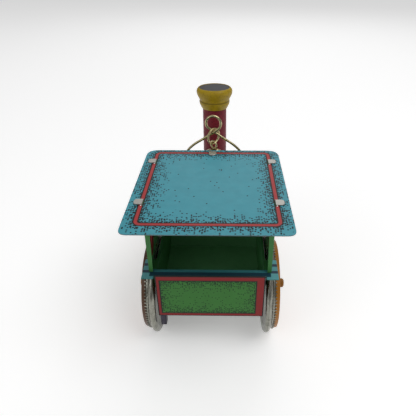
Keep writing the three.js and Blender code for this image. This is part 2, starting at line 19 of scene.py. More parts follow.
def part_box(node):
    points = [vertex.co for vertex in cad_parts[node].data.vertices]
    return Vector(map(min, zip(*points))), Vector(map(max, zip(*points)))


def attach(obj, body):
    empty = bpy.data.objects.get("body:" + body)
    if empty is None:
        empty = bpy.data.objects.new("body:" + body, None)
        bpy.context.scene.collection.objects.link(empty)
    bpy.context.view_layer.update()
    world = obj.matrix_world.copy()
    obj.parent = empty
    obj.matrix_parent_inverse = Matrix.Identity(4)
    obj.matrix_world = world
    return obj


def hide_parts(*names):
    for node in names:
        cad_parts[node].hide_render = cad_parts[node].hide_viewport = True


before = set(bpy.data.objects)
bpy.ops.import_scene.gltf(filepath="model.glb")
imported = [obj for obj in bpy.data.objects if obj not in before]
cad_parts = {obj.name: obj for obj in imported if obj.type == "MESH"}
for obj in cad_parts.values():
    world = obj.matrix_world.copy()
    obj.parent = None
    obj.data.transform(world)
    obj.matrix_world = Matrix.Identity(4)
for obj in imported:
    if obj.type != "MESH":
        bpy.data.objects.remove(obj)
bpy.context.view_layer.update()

MM = 0.001
TIN = 0.4
SEAT = 0.1
COAT_ROUGHNESS = 0.2
SIDES = (("left", -1), ("right", 1))
Profile = Sequence[tuple[float, float]]
Socket = bpy.types.NodeSocket
Value = Socket | float | tuple[float, ...]
Colour = Socket | tuple[float, float, float, float]

log = logging.getLogger("locomotive")


# ---- Small tools for nodes ---------------------------------------------------------------------------


def linear(code: str) -> tuple[float, float, float, float]:
    """Turns an sRGB hex colour into a linear one.

    Args:
        code: The colour, such as "#5a9ba9".

    Returns:
        Red, green, blue and alpha.
    """
    parts = [int(code[i : i + 2], 16) / 255 for i in (1, 3, 5)]
    red, green, blue = (p / 12.92 if p <= 0.04045 else ((p + 0.055) / 1.055) ** 2.4 for p in parts)
    return red, green, blue, 1.0


def pick(sockets: Iterable[Socket], key: int | str) -> Socket:
    """Finds a socket by its number, its identifier or its name.

    Args:
        sockets: A node's inputs or outputs.
        key: The number, identifier or name.

    Returns:
        The socket.
    """
    if isinstance(key, int):
        return sockets[key]
    return next(s for s in sockets if key in (s.identifier, s.name))


def put(tree: bpy.types.NodeTree, kind: str, *sources: object, out: int | str = 0,
        **settings: object) -> Socket | bpy.types.Node:
    """Adds a node with its settings and links.

    Args:
        tree: The tree that gets the node.
        kind: The node's type.
        sources: A socket to link or a value to set for each input in turn, or None to leave one alone.
        out: The output that is wanted.
        settings: Node properties by name, and inputs by identifier or name.

    Returns:
        The wanted output, or the node where it has none.
    """
    node = tree.nodes.new(kind)
    wanted = [(i, source) for i, source in enumerate(sources) if source is not None]
    for key, value in settings.items():
        if hasattr(node, key):
            setattr(node, key, value)
        else:
            wanted.append((key, value))
    for key, value in wanted:
        socket = pick(node.inputs, key)
        if isinstance(value, Socket):
            tree.links.new(value, socket)
        else:
            socket.default_value = value
    return pick(node.outputs, out) if len(node.outputs) else node


MATH = "ShaderNodeMath"
VECTOR = "ShaderNodeVectorMath"
RANGE = "ShaderNodeMapRange"
NOISE = "ShaderNodeTexNoise"
SPLIT = "ShaderNodeSeparateXYZ"


def between(tree: bpy.types.NodeTree, value: Socket, low: float, high: float, soft: float = 0.05) -> Socket:
    """A mask that is 1 where a value lies between two limits and 0 outside them.

    Args:
        tree: The material's tree.
        value: The value's socket.
        low: The lower limit.
        high: The upper limit.
        soft: Half the width of each edge.

    Returns:
        The mask's socket.
    """
    rise = put(tree, RANGE, value, low - soft, low + soft, 0.0, 1.0, interpolation_type="SMOOTHSTEP")
    fall = put(tree, RANGE, value, high - soft, high + soft, 1.0, 0.0, interpolation_type="SMOOTHSTEP")
    return put(tree, MATH, rise, fall, operation="MULTIPLY")


def layered(tree: bpy.types.NodeTree, ground: Colour, layers: Iterable[tuple[Colour, Value]]) -> Socket:
    """Prints inks over a ground, one after another.

    Args:
        tree: The material's tree.
        ground: The first colour, or its socket.
        layers: Pairs of a colour and the mask that says where it goes.

    Returns:
        The finished colour's socket.
    """
    for ink, mask in layers:
        ground = put(
            tree, "ShaderNodeMix", data_type="RGBA", out="Result_Color",
            Factor_Float=mask, A_Color=ground, B_Color=ink,
        )
    return ground


def object_mm(tree: bpy.types.NodeTree) -> Socket:
    """The place on the piece, in millimetres of the row's frame."""
    place = put(tree, "ShaderNodeTexCoord", out="Object")
    return put(tree, VECTOR, place, (1 / MM,) * 3, operation="MULTIPLY")


def outline_distance(tree: bpy.types.NodeTree, flat: Socket, centre: Sequence[float], half: Sequence[float],
                     radius: float) -> Socket:
    """How far a place lies outside a rounded rectangle, below zero inside it.

    Args:
        tree: The material's tree.
        flat: The place's socket, in millimetres across the sheet.
        centre: The rectangle's middle.
        half: Half its width and half its length.
        radius: The radius of its corners.

    Returns:
        The distance's socket.
    """
    away = put(tree, VECTOR, flat, (*centre, 0.0), operation="SUBTRACT")
    away = put(tree, VECTOR, away, operation="ABSOLUTE")
    over = put(tree, VECTOR, away, (half[0] - radius, half[1] - radius, 0.0), operation="SUBTRACT")
    corner = put(tree, VECTOR, over, (0.0, 0.0, 0.0), operation="MAXIMUM")
    corner = put(tree, VECTOR, corner, operation="LENGTH", out="Value")
    across, along = put(tree, SPLIT, over).node.outputs[:2]
    inside = put(tree, MATH, put(tree, MATH, across, along, operation="MAXIMUM"), 0.0, operation="MINIMUM")
    return put(tree, MATH, put(tree, MATH, corner, inside, operation="ADD"), radius, operation="SUBTRACT")


# ---- Finishes ----------------------------------------------------------------------------------------


class Finish(Protocol):
    """What every finish offers."""

    name: str

    def material(self) -> bpy.types.Material:
        """Builds the material."""


class Facing(Enum):
    """The way a sheet faces: the axes across it, along it and through it."""

    UP = (0, 1, 2)
    REAR = (0, 2, 1)
    SIDE = (1, 2, 0)


@dataclass(frozen=True)
class Lining:
    """A rounded rectangle on a sheet, with bands of ink at set distances outside it; on the board, some are
    patches of painted shade.
    """

    centre: tuple[float, float]
    half: tuple[float, float]
    radius: float
    bands: tuple[tuple[float, float, str], ...]


@dataclass(frozen=True)
class Stipple:
    """Printer's dots that crowd along the first lining and thin out away from it.

    Lengths are in millimetres. The dots swell towards the lining, and dense and sparse are the shares of
    places that hold a dot beside it and far from it.
    """

    ink: str
    pitch: float = 0.8
    dot: float = 0.29
    swell: float = 0.1
    dense: float = 1.2
    sparse: float = 0.018
    reach: float = 9.0
    fall: float = 2.0
    jitter: float = 0.65


@dataclass(frozen=True)
class Stripes:
    """Bars of ink across a sheet, repeated along it."""

    start: float
    pitch: float
    width: float
    ink: str


@dataclass(frozen=True)
class PrintedTin:
    """Offset-lithographed tinplate: opaque inks under a stoving varnish, on bright tin.

    The varnish gives an even, slightly wavy and rather dull gloss over flat colour with crisp edges, and
    the tin shows only where the sheet was cut and at the folded tabs. The scales are repeats in a
    millimetre: the ink is uneven over some 5 mm, the sheet waves over 11 mm, and its grain is 0.3 mm.
    """

    name: str
    ground: str
    back: str
    facing: Facing
    outward: int
    centre: tuple[float, float]
    half: tuple[float, float]
    linings: tuple[Lining, ...] = ()
    stipple: Stipple | None = None
    stripes: Stripes | None = None
    bare_above: float = 1000.0
    roughness: tuple[float, float] = (0.34, 0.46)
    cut: str = "#9a9a94"
    coat: float = 0.02
    specular: float = 0.18
    tab_tin: str = "#b3b1ab"
    tab_metallic: float = 0.6
    wear_depth: float = 0.28
    ink_scale: float = 0.22
    wave_scale: float = 0.09
    grain_scale: float = 3.0

    def inks(self, tree: bpy.types.NodeTree, flat: Socket, along: Socket) -> list[tuple[Colour, Socket]]:
        """Lists the inks and the masks that place them.

        Args:
            tree: The material's tree.
            flat: The place on the sheet.
            along: Its second coordinate alone.

        Returns:
            Pairs of a linear colour and a mask.
        """
        layers = []
        measures = [outline_distance(tree, flat, x.centre, x.half, x.radius) for x in self.linings]
        if self.stripes:
            past = put(tree, MATH, along, self.stripes.start, operation="SUBTRACT")
            step = put(tree, MATH, past, self.stripes.pitch, operation="FLOORED_MODULO")
            begun = put(tree, MATH, past, -0.1, operation="GREATER_THAN")
            bars = between(tree, step, 0.0, self.stripes.width)
            layers.append((linear(self.stripes.ink), put(tree, MATH, bars, begun, operation="MULTIPLY")))
        if self.stipple:
            layers.append((linear(self.stipple.ink), self.dots(tree, self.stipple, flat, measures[0])))
        for lining, measure in zip(self.linings, measures):
            for low, high, ink in lining.bands:
                layers.append((linear(ink), between(tree, measure, low, high)))
        return layers

    @staticmethod
    def dots(tree: bpy.types.NodeTree, stipple: Stipple, flat: Socket, measure: Socket) -> Socket:
        """Places the stipple. Its dots are drawn a little coarser than the real screen, to show.

        Args:
            tree: The material's tree.
            stipple: The sizes and the ink of the dots.
            flat: The place on the sheet.
            measure: The distance from the lining that the dots crowd along.

        Returns:
            The mask's socket.
        """
        scale = 1 / stipple.pitch
        cells = put(
            tree, "ShaderNodeTexVoronoi", flat, voronoi_dimensions="2D",
            Scale=scale, Randomness=stipple.jitter,
        )
        chance = put(tree, SPLIT, cells.node.outputs["Color"])
        near = put(tree, MATH, measure, operation="ABSOLUTE")
        near = put(tree, RANGE, near, 0.4, stipple.reach, 1.0, 0.0)
        near = put(tree, MATH, near, stipple.fall, operation="POWER")
        spread = stipple.dense - stipple.sparse
        density = put(tree, MATH, near, spread, stipple.sparse, operation="MULTIPLY_ADD")
        there = put(tree, MATH, chance, density, operation="LESS_THAN")
        size = put(tree, MATH, near, stipple.swell * scale, stipple.dot * scale, operation="MULTIPLY_ADD")
        over = put(tree, MATH, cells, size, operation="SUBTRACT")
        return put(tree, MATH, between(tree, over, -9.0, 0.0, 0.06), there, operation="MULTIPLY")

    def material(self) -> bpy.types.Material:
        """Builds the material.

        Returns:
            The material.
        """
        material, tree, surface = new_material(self.name)
        place = object_mm(tree)
        axes = put(tree, SPLIT, place).node.outputs
        across, along, _ = (axes[i] for i in self.facing.value)
        flat = put(tree, "ShaderNodeCombineXYZ", across, along)
        normal = put(tree, "ShaderNodeTexCoord", out="Normal")
        through = put(tree, SPLIT, normal).node.outputs[self.facing.value[2]]
        front = put(tree, RANGE, through, 0.5 * self.outward, 0.8 * self.outward, 0.0, 1.0)
        rear = put(tree, RANGE, through, -0.5 * self.outward, -0.8 * self.outward, 0.0, 1.0)
        high = put(tree, MATH, axes[2], self.bare_above, operation="GREATER_THAN")

        uneven = put(tree, NOISE, place, Scale=self.ink_scale, Detail=3.0, Roughness=0.6)
        ground = put(
            tree, "ShaderNodeHueSaturation", Color=linear(self.ground),
            Value=put(tree, RANGE, uneven, 0.25, 0.75, 0.94, 1.06),
        )
        printed = layered(tree, ground, self.inks(tree, flat, along))

        # Varnish rubbed through to bright metal in specks, along the cut edges only.
        edge = outline_distance(tree, flat, self.centre, self.half, 0.5)
        speck = put(tree, NOISE, place, Scale=1.1, Detail=4.0, Roughness=0.7)
        rubbed = between(tree, edge, -self.wear_depth, 5.0, 0.1)
        worn = put(tree, MATH, rubbed, between(tree, speck, 0.6, 2.0, 0.02), operation="MULTIPLY")
        whole = put(tree, MATH, 1.0, worn, operation="SUBTRACT")
        inked = put(tree, MATH, front, whole, operation="MULTIPLY")
        colour = layered(tree, linear(self.cut), [
            (printed, inked),
            (linear(self.back), rear),
            (linear(self.tab_tin), high),
        ])
        smear = put(tree, NOISE, place, Scale=0.5, Detail=5.0, Roughness=0.65, Distortion=0.4)
        wave = put(tree, NOISE, place, Scale=self.wave_scale, Detail=2.0)
        grain = put(tree, NOISE, place, Scale=self.grain_scale, Detail=2.0)
        height = put(tree, MATH, grain, 0.02, wave, operation="MULTIPLY_ADD")
        dress(
            tree, surface, colour,
            rough=put(tree, RANGE, smear, 0.3, 0.7, *self.roughness),
            metal=put(tree, MATH, high, self.tab_metallic, operation="MULTIPLY"),
            height=height, depth=0.25, strength=0.35, coat=self.coat, specular=self.specular,
        )
        return material


@dataclass(frozen=True)
class BrightMetal:
    """Tinned steel or brass, drawn or spun: a true metal with fine lines left by the tool, and tarnish.

    The tool lines are drawn about twice as coarse as the real ones, to show.
    """

    name: str
    colour: str
    tarnish: str
    line_axis: int = 0
    line_pitch: float = 0.5
    roughness: tuple[float, float] = (0.2, 0.36)
    tarnished: float = 0.5
    dents: float = 0.3

    def material(self) -> bpy.types.Material:
        """Builds the material.

        Returns:
            The material.
        """
        material, tree, surface = new_material(self.name)
        place = object_mm(tree)
        along = put(tree, SPLIT, place).node.outputs[self.line_axis]
        lines = put(
            tree, NOISE, noise_dimensions="1D", W=along,
            Scale=1 / self.line_pitch, Detail=3.0, Roughness=0.7,
        )
        patches = put(tree, NOISE, place, Scale=0.45, Detail=6.0, Roughness=0.7)
        stain = put(tree, RANGE, patches, 0.44, 0.68, 0.0, self.tarnished, interpolation_type="SMOOTHSTEP")
        streak = put(tree, RANGE, lines, 0.35, 0.7, 0.0, 0.45)
        colour = layered(tree, linear(self.colour), [
            (linear(self.tarnish), stain),
            (linear(self.tarnish), streak),
        ])
        both = put(tree, MATH, put(tree, MATH, patches, lines, operation="ADD"), 0.5, operation="MULTIPLY")
        height = put(tree, MATH, patches, self.dents, lines, operation="MULTIPLY_ADD")
        dress(
            tree, surface, colour, rough=put(tree, RANGE, both, 0.35, 0.65, *self.roughness), metal=1.0,
            height=height, depth=0.05, strength=0.5,
        )
        return material


@dataclass(frozen=True)
class SprayedEnamel:
    """Enamel or solid ink over tin: opaque and even from afar, with a slight peel and small flecks.

    The peel is 0.6 mm across. Each band is a low height, a high height, a softness and a colour.
    """

    name: str
    colour: str
    fleck: str
    shade: str
    fleck_pitch: float = 0.9
    fleck_amount: float = 0.5
    bands: tuple[tuple[float, float, float, str], ...] = ()
    roughness: tuple[float, float] = (0.4, 0.55)
    coat: float = 0.02
    specular: float = 0.2

    def material(self) -> bpy.types.Material:
        """Builds the material.

        Returns:
            The material.
        """
        material, tree, surface = new_material(self.name)
        place = object_mm(tree)
        up = put(tree, SPLIT, place).node.outputs[2]
        clouds = put(tree, NOISE, place, Scale=0.3, Detail=4.0, Roughness=0.6)
        flecks = put(tree, NOISE, place, Scale=1 / self.fleck_pitch, Detail=3.0, Roughness=0.75)
        layers = [
            (linear(self.shade), put(tree, RANGE, clouds, 0.4, 0.75, 0.0, 0.6)),
            (linear(self.fleck), put(tree, RANGE, flecks, 0.52, 0.66, 0.0, self.fleck_amount)),
        ]
        for low, high, soft, ink in self.bands:
            layers.append((linear(ink), between(tree, up, low, high, soft)))
        colour = layered(tree, linear(self.colour), layers)
        peel = put(tree, NOISE, place, Scale=1.6, Detail=2.0)
        dress(
            tree, surface, colour, rough=put(tree, RANGE, clouds, 0.3, 0.7, *self.roughness), metal=0.0,
            height=peel, depth=0.05, strength=0.4, coat=self.coat, specular=self.specular,
        )
        return material


@dataclass(frozen=True)
class WheelPrint:
    """Lithographed wheel face: spokes and a rim line printed on orange, over shallow embossing.

    The orange mottles lighter over some 2 mm, the gaps between the spokes are brown, and the varnish
    gives a soft gloss.
    """

    name: str
    centre: tuple[float, float]
    spokes: int
    hub: float
    rim: float
    edge: float
    ground: str = "#9a6212"
    light: str = "#b98a45"
    gap: str = "#5b3410"
    ink: str = "#1b140c"
    line: str = "#7e2f35"
    # The rolled rim's colour: orange ink, given dark brown as painted shade on the left wheel.
    rim_ink_and_painted_shade: str = "#9a6212"

    def material(self) -> bpy.types.Material:
        """Builds the material.

        Returns:
            The material.
        """
        material, tree, surface = new_material(self.name)
        place = object_mm(tree)
        away = put(tree, VECTOR, place, (0.0, *self.centre), operation="SUBTRACT")
        away = put(tree, VECTOR, away, (0.0, 1.0, 1.0), operation="MULTIPLY")
        radius = put(tree, VECTOR, away, operation="LENGTH", out="Value")
        _, forward, up = put(tree, SPLIT, away).node.outputs
        angle = put(tree, MATH, up, forward, operation="ARCTAN2")
        turn = put(tree, MATH, angle, float(self.spokes), operation="MULTIPLY")
        turn = put(tree, MATH, turn, operation="COSINE")
        open_part = between(tree, radius, self.hub, self.rim, 0.15)
        gap = put(tree, MATH, put(tree, RANGE, turn, 0.08, 0.2, 0.0, 1.0), open_part, operation="MULTIPLY")
        line = put(tree, MATH, between(tree, turn, 0.0, 0.14, 0.05), open_part, operation="MULTIPLY")
        clouds = put(tree, NOISE, place, Scale=0.6, Detail=4.0, Roughness=0.65)
        light = put(tree, RANGE, clouds, 0.45, 0.75, 0.0, 0.4)
        colour = layered(tree, linear(self.ground), [
            (linear(self.light), light),
            (linear(self.gap), gap),
            (linear(self.ink), line),
            (linear(self.line), between(tree, radius, self.edge * 0.83, self.edge * 0.86, 0.06)),
            (linear(self.ink), between(tree, radius, self.hub - 0.5, self.hub - 0.1, 0.06)),
            (linear(self.rim_ink_and_painted_shade), between(tree, radius, self.edge - 0.6, self.edge + 5.0, 0.1)),
        ])
        dress(
            tree, surface, colour, rough=put(tree, RANGE, clouds, 0.3, 0.7, 0.32, 0.45), metal=0.1,
            height=clouds, depth=0.05, strength=0.3, coat=0.05, specular=0.3,
        )
        return material


def new_material(name: str) -> tuple[bpy.types.Material, bpy.types.NodeTree, bpy.types.Node]:
    """Makes an empty material.

    Args:
        name: The real material's name.

    Returns:
        The material, its tree and its surface node.
    """
    material = bpy.data.materials.new(name)
    material.use_nodes = True
    return material, material.node_tree, material.node_tree.nodes["Principled BSDF"]


def dress(tree: bpy.types.NodeTree, surface: bpy.types.Node, colour: Colour, rough: Value, metal: Value,
          height: Socket, depth: float, strength: float, coat: float = 0.0, specular: float = 0.5) -> None:
    """Joins a finish's colour, gloss and relief to its surface.

    Args:
        tree: The material's tree.
        surface: Its surface node.
        colour: The base colour.
        rough: The roughness.
        metal: How metallic it is.
        height: The relief's socket, from 0 to 1.
        depth: The relief's depth in millimetres.
        strength: How strongly the relief turns the light.
        coat: The weight of a clear varnish.
        specular: How strongly a surface that is not metal mirrors.
    """
    bump = put(tree, "ShaderNodeBump", Strength=strength, Distance=depth * MM, Height=height)
    given = {
        "Base Color": colour, "Roughness": rough, "Metallic": metal, "Normal": bump,
        "Coat Weight": coat, "Coat Roughness": COAT_ROUGHNESS, "Specular IOR Level": specular,
    }
    for name, value in given.items():
        socket = surface.inputs[name]
        if isinstance(value, Socket):
            tree.links.new(value, socket)
        else:
            socket.default_value = value


@cache
def finished(finish: Finish) -> bpy.types.Material:
    """A finish's material, which is made once."""
    return finish.material()


# ---- Small tools for meshes --------------------------------------------------------------------------


def corners(node: str) -> tuple[Vector, Vector]:
    """The lowest and highest corner of a CAD node, in millimetres."""
    low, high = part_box(node)
    return low / MM, high / MM


def middle(node: str) -> Vector:
    """The middle of a CAD node's box, in millimetres."""
    low, high = corners(node)
    return (low + high) / 2


@dataclass(frozen=True)
class Ticket:
    """What a piece is called, what it moves with, and what it stands for."""

    name: str
    body: str
    slot: str
    nodes: tuple[str, ...] = ()


def issue(ticket: Ticket, mesh: bpy.types.Mesh, finish: Finish) -> bpy.types.Object:
    """Puts a finished mesh into the scene as a piece.

    Args:
        ticket: The piece's name, body, slot and CAD nodes.
        mesh: Its mesh, in metres of the row's frame.
        finish: Its finish.

    Returns:
        The piece's object.
    """
    mesh.materials.clear()
    mesh.materials.append(finished(finish))
    piece = bpy.data.objects.new(ticket.name, mesh)
    bpy.context.scene.collection.objects.link(piece)
    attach(piece, ticket.body)
    if ticket.nodes:
        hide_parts(*ticket.nodes)
    log.info("%s: %d faces on %s", ticket.name, len(mesh.polygons), ticket.body)
    return piece


def clean_mesh(name: str, shape: bmesh.types.BMesh, crease: float | None = 35.0) -> bpy.types.Mesh:
    """Merges doubles, turns the faces outwards and sets the shading.

    Args:
        name: The mesh's name.
        shape: The shape, which is freed.
        crease: Edges sharper than this many degrees stay sharp, or None for flat faces.

    Returns:
        The mesh.
    """
    bmesh.ops.remove_doubles(shape, verts=shape.verts, dist=2e-6)
    bmesh.ops.dissolve_degenerate(shape, edges=shape.edges, dist=1e-7)
    bmesh.ops.recalc_face_normals(shape, faces=shape.faces)
    for face in shape.faces:
        face.smooth = crease is not None
    if crease is not None:
        for edge in shape.edges:
            edge.smooth = len(edge.link_faces) == 2 and edge.calc_face_angle(0.0) < math.radians(crease)
    mesh = bpy.data.meshes.new(name)
    shape.to_mesh(mesh)
    shape.free()
    return mesh


def softened(node: str, width: float = 0.09, smooth: bool = False, tabs_above: float | None = None,
             tab_round: float = 1.1) -> bpy.types.Mesh:
    """A copy of a CAD node's mesh with its faces merged and its sharp edges eased.

    Args:
        node: The CAD node.
        width: The width of the eased edge.
        smooth: True for a round piece, whose facets are shaded as one surface.
        tabs_above: The height above which the upright edges are the ends of folded tabs, or None.
        tab_round: How far the corners of those tabs are rounded.

    Returns:
        The new mesh.
    """
    shape = bmesh.new()
    shape.from_mesh(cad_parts[node].data)
    bmesh.ops.remove_doubles(shape, verts=shape.verts, dist=2e-6)
    bmesh.ops.dissolve_limit(shape, angle_limit=math.radians(0.5), verts=shape.verts, edges=shape.edges)
    if tabs_above is not None:
        ends = [e for e in shape.edges if min(v.co.z for v in e.verts) > tabs_above * MM
                and abs(e.verts[0].co.z - e.verts[1].co.z) > 0.9 * e.calc_length()]
        bmesh.ops.bevel(shape, geom=ends, offset=tab_round * MM, segments=4, profile=0.5, affect="EDGES",
                        clamp_overlap=True)
    sharp = [e for e in shape.edges if len(e.link_faces) == 2 and e.calc_face_angle(0.0) > math.radians(40)]
    bmesh.ops.bevel(shape, geom=sharp, offset=width * MM, segments=1, profile=0.5, affect="EDGES",
                    clamp_overlap=True)
    return clean_mesh(node, shape, 50.0 if smooth else None)


def light_tight(sheet: bpy.types.Mesh) -> bpy.types.Mesh:
    """Widens a sheet by the seating gap at each side, so that no light shows past its edges.

    Args:
        sheet: The sheet's mesh, which is changed.

    Returns:
        The same mesh.
    """
    reach = max(abs(vertex.co.x) for vertex in sheet.vertices)
    for vertex in sheet.vertices:
        if abs(vertex.co.x) > reach - 1.5 * SEAT * MM:
            vertex.co.x += math.copysign(SEAT * MM, vertex.co.x)
    return sheet


def eased(profile: Profile, radius: float = 0.16, steps: int = 3) -> list[tuple[float, float]]:
    """Rounds the corners of a profile, as pressed metal is.

    Args:
        profile: Points of radius and height. A closed profile repeats its first point at the end.
        radius: How far from a corner its curve starts.
        steps: Straight pieces in each curve.

    Returns:
        The rounded profile.
    """
    points = [Vector(p) for p in profile]
    closed = (points[0] - points[-1]).length < 1e-6
    if closed:
        points.pop()
    result = []
    for i, corner in enumerate(points):
        if not closed and i in (0, len(points) - 1):
            result.append(tuple(corner))
            continue
        before, after = points[i - 1] - corner, points[(i + 1) % len(points)] - corner
        start = corner + before.normalized() * min(radius, before.length * 0.45)
        end = corner + after.normalized() * min(radius, after.length * 0.45)
        for j in range(steps + 1):
            t = j / steps
            result.append(tuple(start * (1 - t) ** 2 + corner * 2 * t * (1 - t) + end * t**2))
    if closed:
        result.append(result[0])
    return result


def turned(name: str, profile: Profile, place: Matrix, sides: int = 96,
           relief: Callable[[float, float], float] | None = None) -> bpy.types.Mesh:
    """Turns a profile about its axis.

    Args:
        name: The mesh's name.
        profile: Points of radius and height.
        place: Where the axis stands, in millimetres.
        sides: The number of steps round it.
        relief: How far a point is raised along the axis, from its radius and angle.

    Returns:
        The mesh.
    """
    shape = bmesh.new()
    rings = []
    for step in range(sides):
        angle = 2 * math.pi * step / sides
        ring = []
        for radius, height in profile:
            lift = relief(radius, angle) if relief else 0.0
            point = place @ Vector((radius * math.cos(angle), radius * math.sin(angle), height + lift))
            ring.append(shape.verts.new(point * MM))
        rings.append(ring)
    for first, second in zip(rings, rings[1:] + rings[:1]):
        for i in range(len(profile) - 1):
            shape.faces.new((first[i], first[i + 1], second[i + 1], second[i]))
    return clean_mesh(name, shape)


def about_x(centre: Vector, side: int = 1) -> Matrix:
    """An axis that points sideways from a wheelset's middle: right if side is 1, left if it is -1."""
    axes = Matrix(((0, 0, side, 0), (1, 0, 0, 0), (0, 1, 0, 0), (0, 0, 0, 1)))
    return Matrix.Translation((0, centre.y, centre.z)) @ axes


def about_y(centre: Vector) -> Matrix:
    """An axis that points forward through a place."""
    return Matrix.Translation(centre) @ Matrix.Rotation(math.radians(-90), 4, "X")


def new_tree(name: str, given: str, made: str, **sizes: str) -> bpy.types.NodeTree:
    """Starts a geometry node tree with its named inputs and its output.

    Args:
        name: The tree's name.
        given: The name of the geometry that goes in.
        made: The name of the geometry that comes out.
        sizes: The kind of each other input, by name.

    Returns:
        The tree.
    """
    tree = bpy.data.node_groups.new(name, "GeometryNodeTree")
    tree.interface.new_socket(given, in_out="INPUT", socket_type="NodeSocketGeometry")
    for size, kind in sizes.items():
        tree.interface.new_socket(size, in_out="INPUT", socket_type=f"NodeSocket{kind}")
    tree.interface.new_socket(made, in_out="OUTPUT", socket_type="NodeSocketGeometry")
    return tree


def end_tree(tree: bpy.types.NodeTree, shape: Socket, finish: Socket) -> None:
    """Ends a geometry node tree: its instances are made real and get their finish.

    Args:
        tree: The tree.
        shape: What it has made.
        finish: Its input for the finish.
    """
    shape = put(tree, "GeometryNodeRealizeInstances", shape)
    shape = put(tree, "GeometryNodeSetMaterial", shape, Material=finish)
    put(tree, "NodeGroupOutput", shape)


def swept_tree() -> bpy.types.NodeTree:
    """Builds the tree that draws a round or flattened wire along a path of edges.

    Returns:
        The tree.
    """
    tree = new_tree("wire_along_a_path", "Path", "Wire", Radius="Float", Flatness="Float", Sides="Int",
                    Finish="Material")
    given = put(tree, "NodeGroupInput").node.outputs
    section = put(tree, "GeometryNodeCurvePrimitiveCircle", given["Sides"], Radius=given["Radius"])
    squeeze = put(tree, "ShaderNodeCombineXYZ", given["Flatness"], 1.0, 1.0)
    section = put(tree, "GeometryNodeTransform", section, Scale=squeeze)
    curve = put(tree, "GeometryNodeMeshToCurve", given["Path"])
    wire = put(tree, "GeometryNodeCurveToMesh", curve, **{"Profile Curve": section, "Fill Caps": True})
    end_tree(tree, wire, given["Finish"])
    return tree


def ringed_tree() -> bpy.types.NodeTree:
    """Builds the tree that repeats a small shape round an axis.

    Returns:
        The tree.
    """
    tree = new_tree("shape_round_an_axis", "Shape", "Ring", Count="Int", Centre="Vector", Axis="Vector",
                    Finish="Material")
    given = put(tree, "NodeGroupInput").node.outputs
    points = put(tree, "GeometryNodePoints", given["Count"], Position=given["Centre"])
    share = put(tree, MATH, put(tree, "GeometryNodeInputIndex"), given["Count"], operation="DIVIDE")
    angle = put(tree, MATH, share, 2 * math.pi, operation="MULTIPLY")
    turn = put(tree, "FunctionNodeAxisAngleToRotation", given["Axis"], angle)
    ring = put(tree, "GeometryNodeInstanceOnPoints", points, Instance=given["Shape"], Rotation=turn)
    end_tree(tree, ring, given["Finish"])
    return tree


@cache
def tree_of(build: Callable[[], bpy.types.NodeTree]) -> bpy.types.NodeTree:
    """A node tree, which is built once."""
    return build()


def grown(name: str, start: bpy.types.Mesh, build: Callable[[], bpy.types.NodeTree], finish: Finish,
          crease: float = 50.0, **inputs: object) -> bpy.types.Mesh:
    """Runs a node tree on a mesh and keeps the result as a plain mesh.

    Args:
        name: The new mesh's name.
        start: The mesh that goes in.
        build: The function that builds the tree.
        finish: The finish of what comes out.
        crease: Edges sharper than this many degrees stay sharp.
        inputs: The tree's named inputs.

    Returns:
        The plain mesh.
    """
    tree = tree_of(build)
    holder = bpy.data.objects.new(f"{name}_start", start)
    bpy.context.scene.collection.objects.link(holder)
    modifier = holder.modifiers.new("grow", "NODES")
    modifier.node_group = tree
    sockets = {item.name: item.identifier for item in tree.interface.items_tree if item.in_out == "INPUT"}
    for key, value in {**inputs, "Finish": finished(finish)}.items():
        modifier[sockets[key]] = value
    bpy.context.view_layer.update()
    evaluated = holder.evaluated_get(bpy.context.evaluated_depsgraph_get())
    made = bpy.data.meshes.new_from_object(evaluated)
    holder.modifiers.clear()
    bpy.data.objects.remove(holder)
    shape = bmesh.new()
    shape.from_mesh(made)
    return clean_mesh(name, shape, crease)


def path_mesh(name: str, points: Sequence[Vector], closed: bool) -> bpy.types.Mesh:
    """A path as a mesh of edges.

    Args:
        name: The mesh's name.
        points: Its points, in millimetres.
        closed: True if it ends where it starts.

    Returns:
        The mesh.
    """
    edges = [(i, i + 1) for i in range(len(points) - 1)]
    if closed:
        edges.append((len(points) - 1, 0))
    mesh = bpy.data.meshes.new(name)
    mesh.from_pydata([p * MM for p in points], edges, [])
    return mesh


def wire_mesh(name: str, points: Sequence[Vector], diameter: float, finish: Finish, closed: bool = False,
              flatness: float = 1.0, sides: int = 16) -> bpy.types.Mesh:
    """Round or flattened wire along a path.

    Args:
        name: The mesh's name.
        points: The path, in millimetres.
        diameter: The wire's diameter.
        finish: Its finish.
        closed: True for a ring.
        flatness: Its thickness across the path over its diameter.
        sides: The number of sides of its section.

    Returns:
        The mesh.
    """
    path = path_mesh(name, points, closed)
    return grown(name, path, swept_tree, finish, Radius=diameter / 2 * MM, Flatness=flatness, Sides=sides)


def smooth_curve(points: Sequence[Vector], steps: int = 8) -> list[Vector]:
    """A centripetal Catmull-Rom curve through points.

    Args:
        points: The points it passes through.
        steps: Straight pieces between two of them.

    Returns:
        Points along the curve.
    """
    ends = [points[0] * 2 - points[1], *points, points[-1] * 2 - points[-2]]
    curve = []
    for p0, p1, p2, p3 in zip(ends, ends[1:], ends[2:], ends[3:]):
        d0, d1, d2 = ((b - a).length ** 0.5 for a, b in ((p0, p1), (p1, p2), (p2, p3)))
        first = ((p1 - p0) / d0 - (p2 - p0) / (d0 + d1) + (p2 - p1) / d1) * d1
        second = ((p2 - p1) / d1 - (p3 - p1) / (d1 + d2) + (p3 - p2) / d2) * d1
        for j in range(steps):
            t = j / steps
            curve.append(
                p1 * (2 * t**3 - 3 * t**2 + 1) + first * (t**3 - 2 * t**2 + t)
                + p2 * (3 * t**2 - 2 * t**3) + second * (t**3 - t**2)
            )
    return [*curve, points[-1]]


# ---- Inks and stock finishes -------------------------------------------------------------------------

